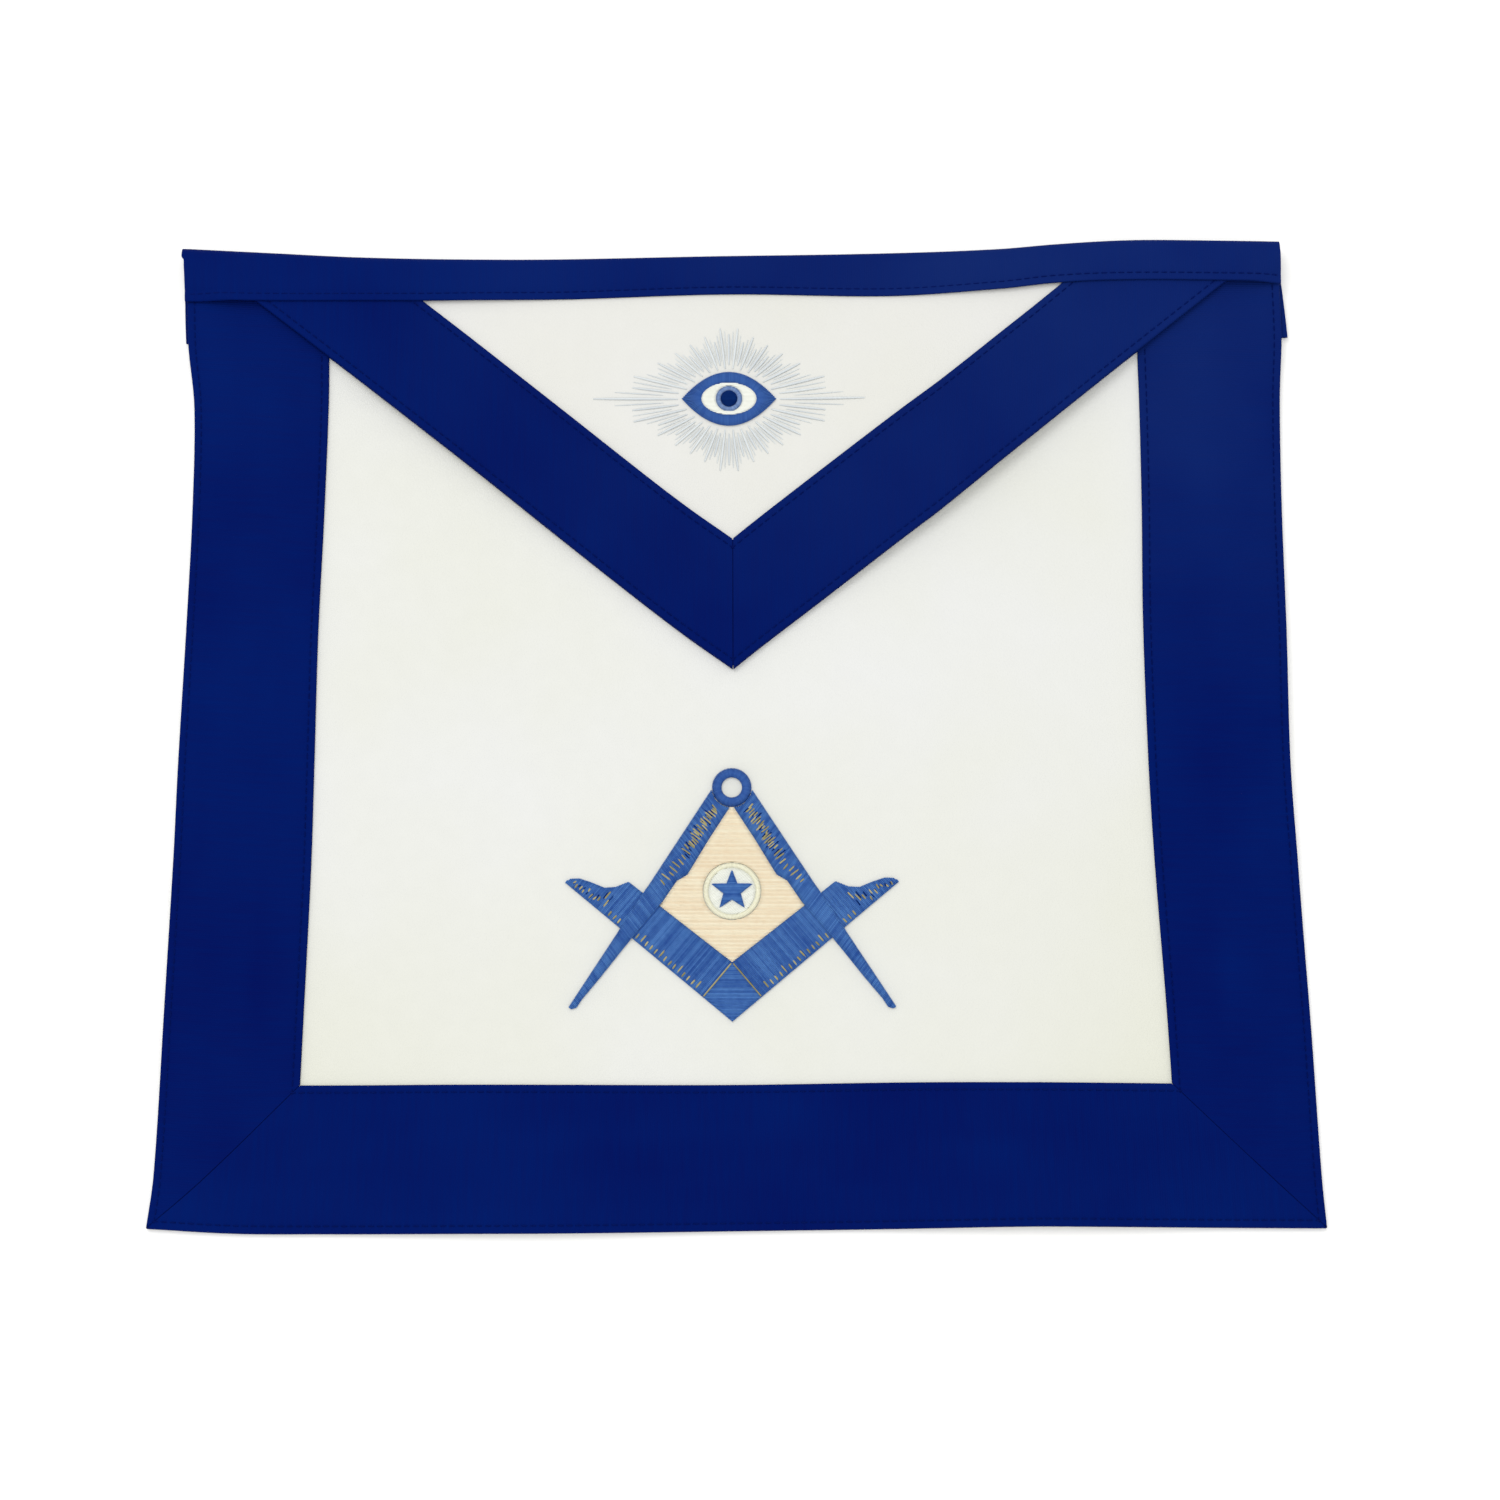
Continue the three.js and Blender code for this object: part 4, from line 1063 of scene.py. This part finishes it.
def make_eye():
    turns = 2 * math.pi * np.arange(60) / 60
    outer, inner = ([EYE + edge(turn) for turn in turns] for edge in (almond, opening))
    lids = Patch([outer, inner], eye_under, LID_RISE, 1.8)
    spans = radial(EYE, almond, opening, 150)
    yield embroider("stitched_lids", lids, spans, lid_blue, longest=9, step=1), "eye_outline"
    rings, spans = band(EYE, IRIS_RADIUS, PUPIL_RADIUS + EYE_GAP, 56, 28)
    iris = Patch(rings, eye_under, IRIS_RISE, 0.8)
    yield embroider("stitched_iris", iris, spans, iris_blue, step=0.7), "eye_iris"
    pupil = Patch([ring(EYE, PUPIL_RADIUS, 28)], eye_under, PUPIL_RISE, 1.6)
    yield embroider("stitched_pupil", pupil, hatch(pupil.rings, 0, 0.42), dark, step=0.8), "eye_pupil"
    ball = Patch([inner, ring(EYE, IRIS_RADIUS + EYE_GAP)], eye_under, WHITE_RISE, 1.2)
    yield embroider("stitched_white", ball, hatch(ball.rings, 0), white, step=1), None


# Rays: long, fine and outer ones by turns inside a lozenge, with the reach, the room to the
# lids and the girth of each kind
RAYS = 52
LOZENGE = (49, 28.5)
FINE = 1
RAY_REACH, RAY_ROOM, RAY_GIRTH = (1, 0.93, 0.86), (1.5, 0, 2.9), (1, 0.45, 0.9)
FINE_START = 0.3
SHORTEST_RAY = 2.5


def ray_paths():
    """Straight stitches round the eye."""
    paths = []
    for i in range(2 * RAYS):
        turn = math.pi * i / RAYS
        c, s = heading(turn)
        kind = i % 4 if i % 2 == 0 else FINE
        reach = RAY_REACH[kind] / (abs(c) / LOZENGE[0] + abs(s) / LOZENGE[1])
        near = np.hypot(*almond(turn)) + RAY_ROOM[kind]
        if kind == FINE:
            near += FINE_START * (reach - near)
        if reach - near < 2:
            reach = near + SHORTEST_RAY
        count = max(5, math.ceil((reach - near) / 2))
        far, share = np.linspace(near, reach, count), np.linspace(0, 1, count)
        x, y = EYE[0] + far * c, EYE[1] + far * s
        girth = 0.35 + 0.65 * np.sin(math.pi * np.clip(share, 0.02, 0.98)) ** 0.5
        girth *= RAY_GIRTH[kind]
        paths.append((grid(x, y, eye_under(x, y) - SEAM_GAP + 0.3 * girth), girth))
    return paths


def emblem_lines():
    """Two light lines across the square, from its inner corner to its outer edges."""
    paths = []
    for side in (-1, 1):
        inset = np.linspace(0.3, SQUARE_WIDTH - 0.6, 12)
        x, y = mirrored([arm_point(CORNER_SIDE, i) for i in inset], side).T
        z = thread_under(x, y) + EMBLEM_RISE + 0.18 - 0.25 * (np.abs(inset / SQUARE_WIDTH - 0.5) * 2) ** 6
        paths.append((grid(x, y, z), np.ones(len(inset))))
    return paths


# Places of the marks along the arms and legs
GRADUATIONS = np.arange(CORNER_SIDE + 4, 58, 2.1)
GRADUATION_INSET = 0.7
GRADUATION_LONG, GRADUATION_SHORT = 3.6, 2.2
LEG_MARKS = [*np.arange(9, 27, 0.9), *np.arange(28, 42, 1.9)]
LEG_SHADOWS = np.arange(9.5, 30, 1.3)
TIP_START, TIP_END = 60.5, 74.5
TIP_MARK_PITCH, TIP_SHADOW_PITCH = 1.5, 1.9


def short_stitch(patch, start, end):
    share = np.linspace(0, 1, 5)
    x, y = (start + (end - start) * share[:, None]).T
    z = patch.height(x, y) + 0.12 - 0.3 * (2 * share - 1) ** 4
    return grid(x, y, z), np.array([0.5, 1, 1, 1, 0.5])


def leg_stitches(side, stations, near, lean, far):
    """Short stitches across a leg, which start, lean and end within the ranges given."""
    paths = []
    for along in stations:
        width = leg_width(along)
        start = leg_point(side, along, width * ROLL.uniform(*near))
        end = leg_point(side, along + ROLL.uniform(*lean), width * ROLL.uniform(*far))
        paths.append(short_stitch(LEGS[side], start, end))
    return paths


def tip_stitches(side, pitch):
    """Short stitches across the narrow end of an arm."""
    paths = []
    shares, widths = np.array(SQUARE_END).T
    for along in np.arange(TIP_START, TIP_END, pitch):
        width = SQUARE_WIDTH * np.interp(along / SQUARE_ARM, shares, widths)
        start = width * ROLL.uniform(0.12, 0.4)
        end = start + width * ROLL.uniform(0.25, 0.45)
        ends = [arm_point(along, start), arm_point(along + ROLL.uniform(-0.4, 0.4), end)]
        paths.append(short_stitch(SQUARE, *mirrored(ends, side)))
    return paths


def mark_paths():
    """Gold stitches: graduations along the arms, and flecks on the legs and the arms' ends."""
    paths = []
    for side in (-1, 1):
        for row, along in enumerate(GRADUATIONS):
            depth = GRADUATION_LONG if row % 4 == 0 else GRADUATION_SHORT
            near = arm_point(along, GRADUATION_INSET)
            far = arm_point(along + ROLL.uniform(-0.2, 0.2), GRADUATION_INSET + depth)
            paths.append(short_stitch(SQUARE, *mirrored([near, far], side)))
        paths += leg_stitches(side, LEG_MARKS, (0.1, 0.42), (0.2, 1.2), (0.58, 0.9))
        paths += tip_stitches(side, TIP_MARK_PITCH)
    return paths


def shadow_paths():
    """Dark stitches among the gold ones, on the upper legs and the narrow ends of the arms."""
    paths = []
    for side in (-1, 1):
        paths += leg_stitches(side, LEG_SHADOWS, (0.06, 0.5), (0.4, 1.4), (0.6, 0.94))
        paths += tip_stitches(side, TIP_SHADOW_PITCH)
    return paths


# Seams along the ribbons

STITCH_RISE = 0.14
STITCHES = {"Pitch": 3.1, "Stitch length": 2.5, "Thread width": 0.42}
MITRE_CORD, MITRE_SINK = 0.9, 0.62


def ribbon_line(width, place, below, inset):
    """A row of stitches along a ribbon."""
    inset = np.full(160, inset)
    x, y, along = place(inset, np.linspace(0, 1, 160))
    face = below(x, y) + LEATHER + RIBBON_LAYER + fullness(inset, width, along)
    return grid(x, y, face - SEAM_DIP + STITCH_RISE), np.ones(len(x))


def mitre_line(width, place, below, share, shift):
    """A line along a ribbon's mitred end."""
    x, y, _ = place(np.linspace(0.9, width - 0.4, 60), share)
    z = below(x, y) + LEATHER + RIBBON_LAYER - MITRE_SINK
    return grid(x + shift[0], y + shift[1], z), np.ones(len(x))


def casing_line(inset):
    a = np.linspace(-HALF_WIDTH + 2, HALF_WIDTH - 2, 220)
    x, y = lay(a, HEIGHT - casing_front_depth(a) + inset)
    return grid(x, y, casing_under(x, y) + RIBBON - SEAM_DIP + STITCH_RISE), np.ones(len(a))


def make_seams():
    rows = [
        ribbon_line(width, place, below, inset)
        for width, place, below, *_ in RIBBONS.values()
        for inset in (width - SEAM_INSET, SEAM_INSET)
    ]
    seams = sew("ribbon_seams", [*rows, casing_line(SEAM_INSET)], SEAM, navy_stitch, STITCHES)
    half = MITRE_GAP / 2
    joints = [
        mitre_line(BORDER, side_place(-1), body_under, 0, (half, -half)),
        mitre_line(BORDER, side_place(1), body_under, 0, (-half, -half)),
        mitre_line(FLAP_BORDER, flap_place(-1), flap_under, 1, (half, 0)),
    ]
    return join(seams, strands("mitre_cords", joints, navy_stitch, MITRE_CORD))


# Putting it together

def keep(piece, slot, node=None, finish=None):
    if finish is not None:
        piece.data.materials.append(finish)
    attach(piece, "root")
    if node is not None:
        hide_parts(node)
    return piece


body = keep(make_body(), "leather", "body_panel", white_leather)
flap = keep(make_flap(), "flap_leather", "flap_panel", flap_white)

for label, (width, place, below, node, length, share) in RIBBONS.items():
    ribbon = keep(make_ribbon(label, width, place, below), "navy_ribbon", node, navy)
casing = keep(make_casing(), "navy_ribbon", "top_casing", navy)

slots = {
    "stitched_field": "cream_thread",
    "stitched_rim": "cream_thread",
    "stitched_disc": "white_thread",
    "stitched_white": "white_thread",
    "stitched_pupil": "dark_thread",
}
for piece, node in [*make_emblem(), *make_eye()]:
    keep(piece, slots.get(piece.name, "blue_thread"), node)

for label, paths, finish, width, slot in (
        ("eye_rays", ray_paths, grey, 1, "white_thread"),
        ("square_lines", emblem_lines, gold, 0.6, "cream_thread"),
        ("gold_marks", mark_paths, gold, 0.7, "cream_thread"),
        ("dark_marks", shadow_paths, dark, 0.6, "dark_thread")):
    keep(strands(label, paths(), finish, width), slot)
keep(make_seams(), "navy_ribbon")

# Table, light and camera

TABLE_REACH, TABLE_DROP = 3000, 0.2
corners = [(x * TABLE_REACH, y * TABLE_REACH, -TABLE_DROP) for x, y in ((-1, -1), (1, -1), (1, 1), (-1, 1))]
board = new_mesh("table", np.array(corners), [], [(0, 1, 2, 3)])
paper = Finish("white_table", {"Roughness": 0.9, "Specular IOR Level": 0.1})
tone = paper.ramp(paper.noise(paper.place(), 6, 2), (0, (250, 250, 248)), (1, (253, 253, 251)))
board.materials.append(paper.done(tone))
add_object("table", board)

world = bpy.data.worlds.new("studio")
bpy.context.scene.world = world
world.use_nodes = True
background = world.node_tree.nodes["Background"].inputs
background["Color"].default_value = (1, 0.995, 0.985, 1)
background["Strength"].default_value = 0.8


def soft_light(name, place, size, energy):
    """A round soft light that points at the middle of the apron."""
    lamp = bpy.data.lights.new(name, "AREA")
    lamp.shape = "DISK"
    lamp.size = size
    lamp.energy = energy
    light = add_object(name, lamp)
    light.location = place
    light.rotation_euler = (-Vector(place)).to_track_quat("-Z", "Y").to_euler()


soft_light("key", (-0.7, 0.9, 2.6), 1.6, 22)
soft_light("overhead", (0.1, -0.5, 2.8), 1.2, 19)

AIM = Vector((0, -6.15 * MM, 0))
DISTANCE = 1.2
ELEVATION, ROLLED = math.radians(78), math.radians(-0.17)
FOCAL_LENGTH, SENSOR_WIDTH = 81.18, 36
SHIFT_X, SHIFT_Y = 0.01, -0.0053
lens = bpy.data.cameras.new("camera")
lens.sensor_width = SENSOR_WIDTH
lens.lens = FOCAL_LENGTH
lens.shift_x = SHIFT_X
lens.shift_y = SHIFT_Y
lens.clip_start = 0.05
camera = add_object("camera", lens)
away = Vector((0, -math.cos(ELEVATION), math.sin(ELEVATION))) * DISTANCE
tilt = Matrix.Rotation(math.pi / 2 - ELEVATION, 4, "X") @ Matrix.Rotation(ROLLED, 4, "Z")
camera.matrix_world = Matrix.Translation(AIM + away) @ tilt
bpy.context.scene.camera = camera
bpy.context.scene.view_settings.view_transform = "Standard"
